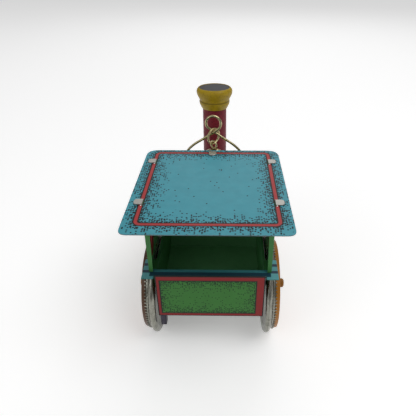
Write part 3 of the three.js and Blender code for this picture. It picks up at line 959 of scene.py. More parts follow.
# Litho inks, for the grounds, the lines and the dots of the prints.
TEAL = "#4497a6"
BOARD_TEAL = "#589da2"
GREEN = "#36712f"
# Painted light: the green lacquer of the inner faces and the floor is drawn much paler than it is, to stand
# in for light inside the cab.
BACK_GREEN_PAINTED_LIGHT = "#4e9156"
INNER_GREEN_PAINTED_LIGHT = "#6cab74"
RED = "#a83737"
PANEL_RED = "#832121"
HEM_RED = "#7a2426"
NAVY = "#2b4152"
BLACK = "#161a1c"
GILT_INK = "#c9a23f"
STIPPLE_BLACK = "#0d171b"
STIPPLE_GREEN = "#16301a"
ORANGE = "#9a6212"
# Painted shade: the left wheel's rim is orange like the right one, and this dark brown stands in for the
# shade on that side.
SHADED_RIM_ORANGE = "#4f3422"

# The lacquers on the backs of the sheets, and the colours that their cut edges have taken.
ROOF_UNDERSIDE = "#3d4a44"
UNDERSIDE = "#4c4a3a"
ROOF_EDGE = "#5c6f72"
POST_GREEN = "#3a713a"
PANEL_EDGE = "#4a3a34"
BOARD_EDGE = "#2c5c55"

# Spun tinned steel: a bright tread with fine rings, clouded grey-brown in patches.
TREAD_TIN = BrightMetal("tinned_steel_spun", "#9d9d92", "#44423d", line_pitch=0.55, tarnished=0.45)
# Drawn steel wire: a plain grey rod with long soft highlights.
AXLE_STEEL = BrightMetal("steel_wire_drawn", "#a8a8a2", "#6b6963", line_pitch=2.0)
# Brassed steel wire, drawn: pale gilt with narrow highlights, darker where the plating has dulled.
GILT_WIRE = BrightMetal("brassed_wire_drawn", "#c6b98e", "#84764b", line_axis=2, line_pitch=5.0)
# Spun brass: a pale gold mirror with fine rings, browned here and there.
BELL_BRASS = BrightMetal("brass_spun", "#d6ca9c", "#8e7d52", line_axis=2, line_pitch=0.4)
# Blackened tinplate with a broad dull sheen: its dark colour is partly the tin's own and partly painted
# shade, for the strap under the rear and the clapper inside the bell.
DARK_TIN_AND_SHADE = BrightMetal("tinplate_blackened", "#4b4852", "#2c2a31", roughness=(0.4, 0.6))
# Sprayed maroon enamel: a deep colour with a soft gloss and dark flecks.
MAROON = SprayedEnamel("enamel_maroon", "#7c202c", "#3a1319", "#5c1a23", fleck_pitch=0.75, fleck_amount=0.8)
# Solid red ink on rolled and pressed tin: an even brick red with a few darker flecks.
HEM_ENAMEL = SprayedEnamel("tinplate_litho_red_hem", HEM_RED, "#5a2022", "#752f30", fleck_amount=0.25)
PLOUGH_RED = SprayedEnamel("tinplate_litho_red_plough", PANEL_RED, "#7a2c31", "#9c4346", fleck_amount=0.25)
BAND_RED = replace(PLOUGH_RED, name="tinplate_litho_red_band")
# Solid green ink on the rolled drum: one mid green that the light shades round the curve.
BOILER_GREEN = SprayedEnamel(
    "tinplate_litho_green_boiler", GREEN, "#2c5a2d", "#35663a", fleck_pitch=0.7, fleck_amount=0.35,
)
# Solid black ink on the dished front: near black, with one soft highlight along the dish.
FRONT_BLACK = SprayedEnamel(
    "tinplate_litho_black_front", "#2d2f31", "#222425", "#3a3c3e", fleck_amount=0.3,
)
# Orange enamel on the hub caps: brownish and worn, in small flecks.
HUB_ENAMEL = SprayedEnamel("enamel_orange_hub", "#8c5c1a", "#6f4614", "#7a4f17", fleck_pitch=0.5)
# Moulded phenolic, dusty and unvarnished: a flat dark grey without a highlight.
BLACK_DISC = SprayedEnamel(
    "phenolic_black_moulded", "#4f4f51", "#444447", "#58585a", roughness=(0.6, 0.75), coat=0.0,
)


# ---- Cab and body ------------------------------------------------------------------------------------


def sheet_lining(node: str, facing: Facing, inset: tuple[float, float, float, float], radius: float,
                 bands: tuple[tuple[float, float, str], ...]) -> Lining:
    """A lining set in from the edges of a sheet.

    Args:
        node: The sheet's CAD node.
        facing: The way it faces.
        inset: How far in the line is from the low and high edge across, and the low and high edge along.
        radius: The radius of its corners.
        bands: Its inks.

    Returns:
        The lining.
    """
    low, high = corners(node)
    (u0, v0), (u1, v1) = (tuple(c[i] for i in facing.value[:2]) for c in (low, high))
    u0, u1, v0, v1 = u0 + inset[0], u1 - inset[1], v0 + inset[2], v1 - inset[3]
    return Lining(((u0 + u1) / 2, (v0 + v1) / 2), ((u1 - u0) / 2, (v1 - v0) / 2), radius, bands)


def printed(name: str, node: str, facing: Facing, outward: int, ground: str, back: str,
            **extra: object) -> PrintedTin:
    """A printed finish for a sheet, with the sheet's own outline for the wear along its edges.

    Args:
        name: The finish's name.
        node: The sheet's CAD node.
        facing: The way it faces.
        outward: 1 if its printed side faces up, forward or right, and -1 if it faces the other way.
        ground: The ink that covers it.
        back: The colour of its other side.
        extra: Further fields of the finish.

    Returns:
        The finish.
    """
    plain = sheet_lining(node, facing, (0, 0, 0, 0), 0.0, ())
    return PrintedTin(name, ground, back, facing, outward, plain.centre, plain.half, **extra)


@dataclass
class Roof:
    """The flat roof, with its red line and stipple, and the slots that the cab's tabs come through."""

    side_inset: float = 4.6
    rear_inset: float = 5.6
    front_inset: float = 2.9
    line: float = 1.15
    outline: float = 0.45
    corner: float = 1.8

    def build(self) -> None:
        """Makes the sheet and prints it."""
        wide = self.line / 2 + self.outline
        inset = (self.side_inset, self.side_inset, self.rear_inset, self.front_inset)
        bands = ((-wide, wide, BLACK), (-self.line / 2, self.line / 2, RED))
        finish = printed(
            "tinplate_litho_teal_roof", "roof", Facing.UP, 1, TEAL, ROOF_UNDERSIDE, cut=ROOF_EDGE,
            linings=(sheet_lining("roof", Facing.UP, inset, self.corner, bands),),
            stipple=Stipple(STIPPLE_BLACK),
        )
        issue(Ticket("roof_sheet", "body", "teal_litho", ("roof",)), softened("roof"), finish)


@dataclass
class Cab:
    """The side sheets with their posts and windows, and the front wall with its round-topped windows.

    A spectacle, one of the wall's windows, is given by its distance from the middle, its width, its
    height and its drop below the roof. The reach is from the rear edge to the window's front.
    """

    half_width: float = 23.6
    lining_insets: tuple[float, float, float, float] = (2.6, 2.6, 2.6, 3.2)
    lining_corner: float = 1.5
    hem: float = 0.7
    edging: float = 3.0
    edging_thickness: float = 0.12
    post_top: float = 9.0
    post_foot: float = 6.5
    sill_rise: float = 5.6
    head_drop: float = 3.4
    reach: float = 21.0
    spectacle: tuple[float, float, float, float] = (13.4, 9.0, 8.0, 4.6)
    bare_depth: float = 0.3

    def build(self) -> None:
        """Makes and prints the sheets, and hems their openings."""
        roof_top = corners("roof")[1].z
        for name, side in SIDES:
            self.add_side(name, side, roof_top)
        wall = printed(
            "tinplate_lacquer_green_wall", "cab_front_wall", Facing.REAR, 1, GREEN, INNER_GREEN_PAINTED_LIGHT,
            bare_above=roof_top - self.bare_depth, roughness=(0.16, 0.28), cut=BACK_GREEN_PAINTED_LIGHT,
        )
        sheet = light_tight(softened("cab_front_wall", tabs_above=roof_top - SEAT))
        issue(Ticket("cab_wall_sheet", "body", "dark_green_lacquer", ("cab_front_wall",)), sheet, wall)
        for name, side in SIDES:
            self.add_hem(f"spectacle_hem_{name}", self.spectacle_path(side))

    def add_side(self, name: str, side: int, roof_top: float) -> None:
        """Prints one side sheet, and hems and edges its window.

        Args:
            name: "left" or "right".
            side: 1 on the right, -1 on the left.
            roof_top: The height that the sheet's tabs stand above.
        """
        node = f"cab_side_{name}"
        bands = ((-0.35, 0.0, BLACK), (0.0, 0.9, PANEL_RED), (0.9, 1.15, BLACK))
        finish = printed(
            f"tinplate_litho_green_cab_{name}", node, Facing.SIDE, side, GREEN, BACK_GREEN_PAINTED_LIGHT,
            linings=(sheet_lining(node, Facing.SIDE, self.lining_insets, self.lining_corner, bands),),
            stipple=Stipple(STIPPLE_GREEN, sparse=0.06, reach=7.0),
            bare_above=roof_top - self.bare_depth, cut=POST_GREEN,
        )
        ticket = Ticket(f"cab_side_sheet_{name}", "body", "green_litho", (node,))
        issue(ticket, softened(node, tabs_above=roof_top - SEAT), finish)
        x = side * (self.half_width - TIN / 2)
        self.add_hem(f"window_hem_{name}", [Vector((x, y, z)) for y, z in self.window()])
        self.add_edging(f"window_edging_{name}", side)

    def add_hem(self, name: str, path: Sequence[Vector]) -> None:
        """Runs a rolled red hem round an opening.

        Args:
            name: The hem's name.
            path: The opening's outline.
        """
        mesh = wire_mesh(name, path, self.hem, HEM_ENAMEL, closed=True, sides=12)
        issue(Ticket(name, "body", "red_litho"), mesh, HEM_ENAMEL)

    def add_edging(self, name: str, side: int) -> None:
        """Lays a thin red strip round a window on the sheet's inner face, from the opening outwards.

        Args:
            name: The strip's name.
            side: 1 on the right, -1 on the left.
        """
        outline = [Vector(p) for p in self.window()]
        face = self.half_width - TIN
        shape = bmesh.new()
        rings = []
        for i, place in enumerate(outline):
            run = (outline[(i + 1) % len(outline)] - outline[i - 1]).normalized()
            away = Vector((-run.y, run.x)) * -self.edging
            under = face - self.edging_thickness
            spots = [(face, place), (face, place + away), (under, place + away), (under, place)]
            rings.append([shape.verts.new(Vector((side * x, spot.x, spot.y)) * MM) for x, spot in spots])
        for first, second in zip(rings, rings[1:] + rings[:1]):
            for j in range(len(first)):
                k = (j + 1) % len(first)
                shape.faces.new((first[j], first[k], second[k], second[j]))
        issue(Ticket(name, "body", "red_litho"), clean_mesh(name, shape, None), HEM_ENAMEL)

    def window(self) -> list[tuple[float, float]]:
        """Draws the side window: a sloping post, a low sill and a long sweep up to the front.

        Returns:
            Places along and up the sheet.
        """
        base = corners("cab_side_right")[0]
        roof_under = corners("roof")[0].z
        head = roof_under - self.head_drop
        sill = base.z - SEAT + self.sill_rise
        back = base.y
        foot, front = back + self.post_foot, back + self.reach
        span = front - foot
        outline = [(back + self.post_top, head), (foot + 0.3, sill + 2)]
        outline += bezier((foot + 0.3, sill + 2), (foot + 0.1, sill), (foot + 1.4, sill + 0.3))
        outline += bezier((foot + 1.4, sill + 0.3), (foot + 0.24 * span, sill + 3.5),
                          (foot + 0.54 * span, sill + 12.6), (front, head - 2))
        outline += bezier((front, head - 2), (front + 0.7, head), (front - 1.4, head))
        return outline

    def spectacle_path(self, side: int) -> list[Vector]:
        """Draws the outline of one window of the front wall.

        Args:
            side: 1 on the right, -1 on the left.

        Returns:
            The outline's places.
        """
        offset, width, height, drop = self.spectacle
        top = corners("roof")[0].z - drop
        y = corners("cab_front_wall")[1].y - TIN / 2
        half, rise = width / 2, width / 2 * 0.8
        flat = [(-half, top - rise)]
        flat += bezier((-half, top - rise), (-half, top), (-half + rise, top))
        flat += bezier((half - rise, top), (half, top), (half, top - rise))
        low = top - height
        flat += bezier((half, low + 1), (half, low), (half - 1, low))
        flat += bezier((1 - half, low), (-half, low), (-half, low + 1))
        return [Vector((side * offset + u, y, v)) for u, v in flat]


def bezier(*controls: tuple[float, float], steps: int = 10) -> list[tuple[float, float]]:
    """Points along a quadratic or cubic curve, without its first.

    Args:
        controls: Its three or four control points.
        steps: The number of points.

    Returns:
        The points.
    """
    degree = len(controls) - 1
    curve = []
    for j in range(1, steps + 1):
        t = j / steps
        share = [math.comb(degree, i) * t**i * (1 - t) ** (degree - i) for i in range(degree + 1)]
        curve.append(tuple(sum(s * c[axis] for s, c in zip(share, controls)) for axis in (0, 1)))
    return curve


@dataclass
class Body:
    """The sheets below the cab and the boiler: panel, board, frame sides, floor, deck, beam and plough.

    The insets run from the low and high edge across, then from the low and high edge along. Inside the
    cab the board carries painted shade in patches, darker where the roof shades it, each given by its ends,
    from the roof's rear edge, and its colour.
    """

    panel_insets: tuple[float, float, float, float] = (1.35, 3.05, 1.45, 2.15)
    panel_line: float = 0.42
    frame_insets: tuple[float, float, float, float] = (1.6, 1.6, 4.8, 1.6)
    beam_inset: float = 1.2
    beam_line: float = 0.25
    stripe_start: float = 16.8
    stripe_pitch: float = 4.0
    stripe_width: float = 1.55
    inside_half: float = 23.3
    # Painted shade: the rear strip, the board and the ledge inside the cab are drawn darker than their
    # print, for the roof's shadow.
    inside: tuple[tuple[float, float, str], ...] = (
        (14.9, 17.2, "#1f4250"), (17.2, 18.9, "#3a7f86"), (18.9, 62.0, "#3c7a44"),
    )

    def build(self) -> None:
        """Makes and prints the sheets."""
        self.add_panel()
        self.add_boards()
        self.add_frame_sides()
        self.add_floor()
        self.add_front()

    def add_panel(self) -> None:
        """Prints the rear panel: a stippled green middle, and a red border between black lines."""
        bands = ((-self.panel_line, 0.0, BLACK), (0.0, 20.0, PANEL_RED))
        border = sheet_lining("rear_panel", Facing.REAR, self.panel_insets, 0.1, bands)
        rim = sheet_lining("rear_panel", Facing.REAR, (0, 0, 0, 0), 0.1, ((-self.panel_line, 3.0, BLACK),))
        dots = Stipple(STIPPLE_GREEN, pitch=0.68, dot=0.2, sparse=0.14, dense=1.0, reach=6.5, fall=1.7)
        finish = printed(
            "tinplate_litho_green_panel", "rear_panel", Facing.REAR, -1, GREEN, BACK_GREEN_PAINTED_LIGHT, cut=PANEL_EDGE,
            linings=(border, rim), stipple=dots,
        )
        ticket = Ticket("rear_panel_sheet", "body", "green_litho", ("rear_panel",))
        issue(ticket, softened("rear_panel"), finish)

    def add_boards(self) -> None:
        """Prints the running board and the deck, with navy stripes that run on from one to the other."""
        start = corners("roof")[0].y + self.stripe_start
        stripes = Stripes(start, self.stripe_pitch, self.stripe_width, NAVY)
        board = printed(
            "tinplate_litho_teal_board", "running_board", Facing.UP, 1, BOARD_TEAL, UNDERSIDE,
            stripes=stripes, cut=BOARD_EDGE,
            linings=tuple(self.shade_patch(*patch) for patch in self.inside),
        )
        deck = printed(
            "tinplate_litho_teal_deck", "front_deck", Facing.UP, 1, BOARD_TEAL, UNDERSIDE, stripes=stripes,
        )
        for node, finish in (("running_board", board), ("front_deck", deck)):
            issue(Ticket(f"{node}_sheet", "body", "teal_litho", (node,)), softened(node), finish)

    def add_frame_sides(self) -> None:
        """Prints the frame sides, which are stippled green inside a red line."""
        bands = ((-0.3, 0.0, BLACK), (0.0, 0.8, PANEL_RED))
        for name, side in SIDES:
            node = f"frame_side_{name}"
            finish = printed(
                f"tinplate_litho_green_frame_{name}", node, Facing.SIDE, side, GREEN, BACK_GREEN_PAINTED_LIGHT,
                linings=(sheet_lining(node, Facing.SIDE, self.frame_insets, 1.2, bands),),
                stipple=Stipple(STIPPLE_GREEN, sparse=0.08, reach=5.0),
            )
            ticket = Ticket(f"frame_side_sheet_{name}", "body", "green_litho", (node,))
            issue(ticket, softened(node), finish)

    def add_floor(self) -> None:
        """Lacquers the floor pan green, drawn pale as painted light inside the cab, and hangs the dark lug
        under the rear, whose dark tin is partly painted shade.
        """
        floor = printed(
            "tinplate_lacquer_green_floor", "floor_pan", Facing.UP, 1, INNER_GREEN_PAINTED_LIGHT, UNDERSIDE,
            cut=INNER_GREEN_PAINTED_LIGHT, roughness=(0.25, 0.4),
        )
        ticket = Ticket("floor_pan_sheet", "body", "dark_green_lacquer", ("floor_pan",))
        issue(ticket, light_tight(softened("floor_pan")), floor)
        issue(Ticket("rear_lug_strap", "body", "dark_tin", ("rear_lug",)), softened("rear_lug"), DARK_TIN_AND_SHADE)

    def add_front(self) -> None:
        """Prints the red beam with its gilt line, and the red plough below it."""
        bands = ((-self.beam_line, self.beam_line, GILT_INK),)
        lining = sheet_lining("front_beam", Facing.REAR, (self.beam_inset,) * 4, 0.8, bands)
        beam = printed(
            "tinplate_litho_red_beam", "front_beam", Facing.REAR, 1, PANEL_RED, UNDERSIDE,
            linings=(lining,),
        )
        ticket = Ticket("front_beam_sheet", "body", "red_litho", ("front_beam",))
        issue(ticket, softened("front_beam"), beam)
        ticket = Ticket("cowcatcher_plough", "body", "red_litho", ("cowcatcher",))
        issue(ticket, softened("cowcatcher"), PLOUGH_RED)

    def shade_patch(self, low: float, high: float, ink: str) -> Lining:
        """A patch of painted shade on the board inside the cab, darker than the print where the roof shades
        it.

        Args:
            low: Its rear edge, measured from the roof's rear edge.
            high: Its front edge, measured in the same way.
            ink: Its colour, a painted shade.

        Returns:
            The patch.
        """
        rear = corners("roof")[0].y
        centre, half = (0.0, rear + (low + high) / 2), (self.inside_half, (high - low) / 2)
        return Lining(centre, half, 0.05, ((-50.0, 0.0, ink),))


# ---- Boiler and chimney ------------------------------------------------------------------------------


@dataclass
class Boiler:
    """The boiler drum with its riveted bands, and its front plate."""

    band_places: tuple[float, ...] = (2.6, 22.0)
    band_width: float = 2.2
    band_rise: float = 0.2
    band_sunk: float = 0.05
    boss: float = 1.1
    rivets: int = 40
    rivet: float = 0.42
    rivet_sunk: float = 0.04
    radius: float = field(init=False)

    def build(self) -> None:
        """Makes the drum, the bands, the rivets and the front."""
        low, high = corners("boiler_shell")
        self.radius = (high.x - low.x) / 2
        axis = Vector((0, low.y, (low.z + high.z) / 2))
        ticket = Ticket("boiler_drum", "body", "green_litho", ("boiler_shell",))
        issue(ticket, softened("boiler_shell", 0.06, smooth=True), BOILER_GREEN)
        inner, outer = self.radius - self.band_sunk, self.radius + self.band_rise
        ring = [(inner, 0), (outer, 0), (outer, self.band_width), (inner, self.band_width), (inner, 0)]
        for number, ahead in enumerate(self.band_places, 1):
            place = about_y(axis + Vector((0, ahead, 0)))
            band = turned(f"boiler_band_{number}", eased(ring, 0.08, 2), place, 128)
            issue(Ticket(f"boiler_band_{number}", "body", "red_litho"), band, BAND_RED)
            self.add_rivets(number, axis + Vector((0, ahead + self.band_width / 2, 0)), outer)
        self.add_front()

    def add_rivets(self, number: int, centre: Vector, radius: float) -> None:
        """Sets a row of rivets round a band.

        Args:
            number: The band's number.
            centre: The middle of the row, on the boiler's axis.
            radius: The radius that the rivets stand on.
        """
        dome = [(self.rivet, 0), (self.rivet * 0.85, 0.1), (self.rivet * 0.5, 0.19), (0, 0.22)]
        stand = Matrix.Translation((0, 0, radius - self.rivet_sunk))
        start = turned("rivet", dome, stand, 10)
        mesh = grown(
            f"boiler_rivets_{number}", start, ringed_tree, BELL_BRASS,
            Count=self.rivets, Centre=centre * MM, Axis=Vector((0, 1, 0)),
        )
        issue(Ticket(f"boiler_rivets_{number}", "body", "bell_brass"), mesh, BELL_BRASS)

    def add_front(self) -> None:
        """Turns the front plate, dished with a raised middle."""
        low, high = corners("boiler_front")
        radius, depth = (high.x - low.x) / 2, (high.y - low.y) / self.boss
        place = about_y(Vector((0, low.y, (low.z + high.z) / 2)))
        profile = [
            (0, 0), (radius, 0), (radius, 0.5 * depth), (radius * 0.92, 0.75 * depth),
            (radius * 0.8, 0.5 * depth), (radius * 0.35, depth), (0, self.boss * depth),
        ]
        mesh = turned("boiler_front_plate", eased(profile, 0.3), place, 128)
        issue(Ticket("boiler_front_plate", "body", "black_litho", ("boiler_front",)), mesh, FRONT_BLACK)


@dataclass
class Chimney:
    """The stack, its turned cap with a black disc in the top, and the collar on the boiler."""

    radius: float = 5.75
    wall: float = 0.5
    lean: float = -2.5
    dip: float = 1.5
    height: float = 35.9
    cap_height: float = 10.0
    crown: float = 7.3
    brim: float = 8.6
    neck: float = 7.3
    bead: float = 7.25
    disc_drop: float = 0.25

    def build(self) -> None:
        """Makes the four pieces about the leaning axis."""
        lean = Matrix.Rotation(math.radians(self.lean), 4, "X")
        top = self.height / math.cos(math.radians(self.lean))
        disc_middle = top - self.disc_drop - TIN / 2
        place = Matrix.Translation(middle("chimney_disc") - lean @ Vector((0, 0, disc_middle))) @ lean

        inner, end, foot = self.radius - self.wall, top - 2 * TIN, -self.dip
        stack = [(inner, foot), (self.radius, foot), (self.radius, end), (inner, end), (inner, foot)]
        tube = turned("chimney_stack_tube", eased(stack, 0.1, 2), place)
        issue(Ticket("chimney_stack_tube", "body", "maroon_paint", ("chimney_stack",)), tube, MAROON)

        mustard = self.cap_finish()
        cap = turned("chimney_cap_turning", self.cap_profile(top), place, 128)
        issue(Ticket("chimney_cap_turning", "body", "yellow_paint", ("chimney_cap",)), cap, mustard)

        disc_top, face = top - self.disc_drop, self.crown - SEAT
        disc = [(0, disc_top - TIN), (face, disc_top - TIN), (face, disc_top), (0, disc_top)]
        insert = turned("chimney_disc_insert", eased(disc, 0.1, 2), place)
        issue(Ticket("chimney_disc_insert", "body", "black_plastic", ("chimney_disc",)), insert, BLACK_DISC)

        skirt = softened("chimney_collar", 0.05, smooth=True)
        issue(Ticket("chimney_collar_skirt", "body", "yellow_paint", ("chimney_collar",)), skirt, mustard)

    def cap_finish(self) -> SprayedEnamel:
        """Mixes the sprayed mustard enamel: dull yellow with brown flecks, and a brown band of painted
        shade in the waist's groove.

        Returns:
            The finish of the cap and the collar.
        """
        waist = corners("chimney_cap")[0].z + 0.42 * self.cap_height
        return SprayedEnamel(
            "enamel_mustard", "#a68a18", "#5f4c10", "#957a17", fleck_pitch=0.8, fleck_amount=0.5,
            # Painted shade: a brown band round the groove at the waist, where shade falls.
            bands=((waist - 0.3, waist + 0.3, 0.35, "#6b5a12"),), roughness=(0.36, 0.5),
        )

    def cap_profile(self, top: float) -> list[tuple[float, float]]:
        """The cap's closed profile.

        Args:
            top: The height of the chimney's top above its foot, along the axis.

        Returns:
            Points of radius and height.
        """
        bore, foot = self.radius + SEAT, top - self.cap_height
        seat = top - TIN - self.disc_drop - SEAT

        # The outside, as radii and as shares of the cap's height.
        outside = [
            (bore + 0.25, 0.01), (self.bead - 0.6, 0.12), (self.bead, 0.26), (self.neck, 0.38),
            (self.neck - 0.12, 0.42), (self.neck + 0.3, 0.52), (self.brim - 0.35, 0.65), (self.brim, 0.78),
            (self.brim - 0.1, 0.89), (self.crown + 0.5, 0.98), (self.crown + 0.1, 1.0),
        ]
        outside = [Vector((radius, foot + share * self.cap_height)) for radius, share in outside]
        wall = [tuple(p) for p in smooth_curve(outside, 4)]
        rim = top - self.disc_drop
        return [(bore, foot), *wall, (self.crown, rim), (self.crown, seat), (bore, seat), (bore, foot)]


# ---- Wheels ------------------------------------------------------------------------------------------


@dataclass
class Wheelset:
    """A pair of pressed tin wheels on a wire axle, with crimped teeth that hold the printed faces."""

    name: str
    teeth: int
    spokes: int
    inner: float = 22.1
    crest: float = 24.0
    tread_start: float = 25.1
    tread_end: float = 26.0
    face: float = 27.9
    hub: float = 31.7
    wall: float = 0.5
    axle: float = 1.2
    spoke_start: float = 0.24
    spoke_end: float = 0.74
    emboss: float = 0.28
    dish_start: float = 3.6
    dish: float = 0.9
    dish_steps: int = 22
    flange: float = field(init=False)
    tread: float = field(init=False)
    centre: Vector = field(init=False)

    def build(self) -> None:
        """Makes the axle and the two wheels."""
        low, high = corners(f"{self.name}_tread_right")
        face_low, face_high = corners(f"{self.name}_face_right")
        self.flange = (high.z - low.z) / 2
        self.tread = (face_high.z - face_low.z) / 2
        self.centre = Vector((0, (low.y + high.y) / 2, (low.z + high.z) / 2))
        body = f"{self.name}_wheelset"
        reach = corners(f"{self.name}_axle")[1].x
        bar = [(0, -reach), (self.axle, -reach), (self.axle, reach), (0, reach)]
        axle = turned("axle", eased(bar, 0.3), about_x(self.centre), 32)
        issue(Ticket(f"{self.name}_axle_wire", body, "bare_tin", (f"{self.name}_axle",)), axle, AXLE_STEEL)
        # The left wheel's rim gets painted shade, a dark brown in place of its orange; the right one keeps
        # the orange ink.
        for (label, side), rim_ink_and_painted_shade in zip(SIDES, (SHADED_RIM_ORANGE, ORANGE)):
            self.add_wheel(label, side, body, rim_ink_and_painted_shade)

    def add_wheel(self, label: str, side: int, body: str, rim_ink_and_painted_shade: str) -> None:
        """Makes one wheel: its tread, its printed face, its hub cap and its teeth.

        Args:
            label: "left" or "right".
            side: 1 on the right, -1 on the left.
            body: The body that it moves with.
            rim_ink_and_painted_shade: The colour of its rim: orange ink on the right wheel, and on the left
                wheel a dark brown that is painted shade.
        """
        orange = WheelPrint(
            f"tinplate_litho_orange_{self.name}_{label}", (self.centre.y, self.centre.z), self.spokes,
            self.tread * self.spoke_start, self.tread * self.spoke_end, self.tread, rim_ink_and_painted_shade=rim_ink_and_painted_shade,
        )
        place = about_x(self.centre, side)
        tread = turned("tread", eased(self.tread_profile(), 0.45, 4), place, 128)
        face = turned("face", self.face_profile(), place, 200, self.embossing)
        hub = turned("hub", eased(self.hub_profile(), 0.2), place, 48)
        parts = (
            ("tread_pressing", "tread", "bare_tin", tread, TREAD_TIN),
            ("face_pressing", "face", "orange_litho", face, orange),
            ("hub_cap", "hub", "gilt_wire", hub, HUB_ENAMEL),
        )
        for piece, node, slot, mesh, finish in parts:
            nodes = (f"{self.name}_{node}_{label}",)
            issue(Ticket(f"{self.name}_{piece}_{label}", body, slot, nodes), mesh, finish)
        self.add_teeth(f"{self.name}_crimped_teeth_{label}", body, side)

    def tread_profile(self) -> Profile:
        """Draws the drum: a web, a rounded flange on the body's side and a tread that runs outwards.

        Returns:
            Points of radius and height.
        """
        bore, web = self.axle + SEAT, self.tread - 2.7
        return [
            (bore, self.inner + 0.8), (web, self.inner + 0.8), (self.tread + 0.1, self.inner),
            (self.flange - 0.7, self.inner + 0.2), (self.flange, self.inner + 1),
            (self.flange - 0.1, self.crest), (self.flange - 0.6, self.crest + 0.6),
            (self.tread, self.tread_start), (self.tread - 0.1, self.tread_end),
            (self.tread - 0.1 - self.wall, self.tread_end), (self.tread - self.wall, self.crest),
            (web, self.inner + 0.8 + self.wall), (bore, self.inner + 0.8 + self.wall),
            (bore, self.inner + 0.8),
        ]

    def face_profile(self) -> Profile:
        """Draws the face, dished between its rim bead and its hub boss, with steps for the embossing.

        Returns:
            Points of radius and height.
        """
        bore, back = self.axle + SEAT, self.tread_end + SEAT
        front, edge, boss = back + self.wall, self.tread * 0.8, back + self.dish
        rim = eased([
            (edge, back), (self.tread, back), (self.tread - 0.5, self.face), (self.tread * 0.88, self.face),
            (edge, front), (self.dish_start, front + self.dish),
        ], 0.3)[:-1]
        shares = [i / self.dish_steps for i in range(1, self.dish_steps + 1)]
        dished = [(edge - (edge - self.dish_start) * t, front + self.dish * t) for t in shares]
        return [(bore, boss), (3.2, boss), *rim, *dished, (bore, boss + self.wall), (bore, boss)]

    def embossing(self, radius: float, angle: float) -> float:
        """How far the wheel's face is raised at a place: the gaps between its spokes are sunk a little.

        Args:
            radius: The distance from the axle.
            angle: The direction, in radians.

        Returns:
            The rise in millimetres.
        """
        low, high = self.tread * self.spoke_start, self.tread * self.spoke_end
        inward = min(max(min(radius - low, high - radius) / 0.7, 0), 1)
        turn = min(max((math.cos(self.spokes * angle) - 0.05) / 0.35, 0), 1)
        return -self.emboss * inward * turn

    def hub_profile(self) -> Profile:
        """Draws the hub's cap, which is blind over the axle's end.

        Returns:
            Points of radius and height.
        """
        bore = self.axle + SEAT
        seat = self.tread_end + 2 * SEAT + self.dish + self.wall
        blind = corners(f"{self.name}_axle")[1].x + SEAT
        return [
            (0, blind), (bore, blind), (bore, seat), (2.9, seat), (2.7, seat + 0.5), (2, seat + 0.9),
            (1.95, self.hub - 0.5), (1.4, self.hub), (0, self.hub),
        ]

    def add_teeth(self, name: str, body: str, side: int) -> None:
        """Bends a ring of small teeth from the tread's edge over the face's rim.

        Args:
            name: The ring's name.
            body: The body that it moves with.
            side: 1 on the right, -1 on the left.
        """
        half = math.pi * self.tread / self.teeth * 0.36
        root, tip = self.tread_end - 0.25, self.tread_end + 0.62
        outer, inner = self.tread + 0.16, self.tread - 0.3
        section = [
            (root, half, self.tread - 0.15), (root, half, outer), (tip - 0.3, half * 0.9, outer),
            (tip, half * 0.5, outer - 0.12), (tip, half * 0.5, inner), (tip - 0.3, half * 0.9, inner),
        ]
        shape = bmesh.new()
        rows = []
        for sign in (-1, 1):
            rows.append([shape.verts.new(Vector((side * x, w * sign, r)) * MM) for x, w, r in section])
        for i in range(len(section)):
            j = (i + 1) % len(section)
            shape.faces.new((rows[0][i], rows[0][j], rows[1][j], rows[1][i]))
        shape.faces.new(rows[0])
        shape.faces.new(rows[1][::-1])
        mesh = grown(
            name, clean_mesh("tooth", shape), ringed_tree, TREAD_TIN, 30.0,
            Count=self.teeth, Centre=self.centre * MM, Axis=Vector((1, 0, 0)),
        )
        issue(Ticket(name, body, "bare_tin"), mesh, TREAD_TIN)


# ---- Bail, link and bell -----------------------------------------------------------------------------


@dataclass
class Bail:
    """The wire bail: bent feet, an arch, crossed ends and one turn round an eye."""

    wire: float = 1.1
    eye: float = 3.35
    strand: float = 0.7
    slope: float = 35.0
    foot: float = 11.3
    eye_steps: int = 12

    def build(self) -> None:
        """Sweeps the wire along its path."""
        mesh = wire_mesh("bail_wire", smooth_curve(self.path(), 7), self.wire, GILT_WIRE)
        issue(Ticket("bail_wire", "hanger", "gilt_wire", ("bail",)), mesh, GILT_WIRE)

    def path(self) -> list[Vector]:
        """Bends the wire: a foot, a leg, a shoulder, once round the eye, and the same back down.

        Returns:
            The points that it passes through, from its right foot to its left.
        """
        low, high = corners("bail")
        slope = math.radians(self.slope)
        pivot = low.z + self.wire / 2
        wide = high.x - self.wire / 2
        eye_z = high.z - self.wire / 2 - self.eye
        cross = eye_z - self.eye / math.cos(slope)

        # Sideways and up: the foot in its hole, the bend, the straight leg, then the shoulder.
        leg = [
            (self.foot, pivot), (wide - 1.2, pivot), (wide - 0.3, pivot + 0.35), (wide, pivot + 1.4),
            (wide, pivot + 8), (wide, cross - 17), (wide - 0.6, cross - 12.5), (wide - 2.3, cross - 9.2),
            (wide - 5.3, cross - 6.2), (4.65, cross - 3.25), (2, cross - 1.4),
        ]
        middle_y = (low.y + high.y) / 2
        lead = [self.strand * max(0.0, 1 - x / 8) for x, _ in leg]
        right = [Vector((x, middle_y + y, z)) for (x, z), y in zip(leg, lead)]
        left = [Vector((-x, middle_y - y, z)) for (x, z), y in zip(leg, lead)][::-1]
        loop = []
        for i in range(self.eye_steps + 1):
            t = i / self.eye_steps
            angle = math.pi + slope - t * (math.pi + 2 * slope)
            y = middle_y + self.strand * (1 - 2 * t) * 0.8
            loop.append(Vector((self.eye * math.cos(angle), y, eye_z + self.eye * math.sin(angle))))
        crossing = [Vector((0, middle_y + sign * self.strand, cross)) for sign in (1, -1)]
        return [*right, crossing[0], *loop, crossing[1], *left]


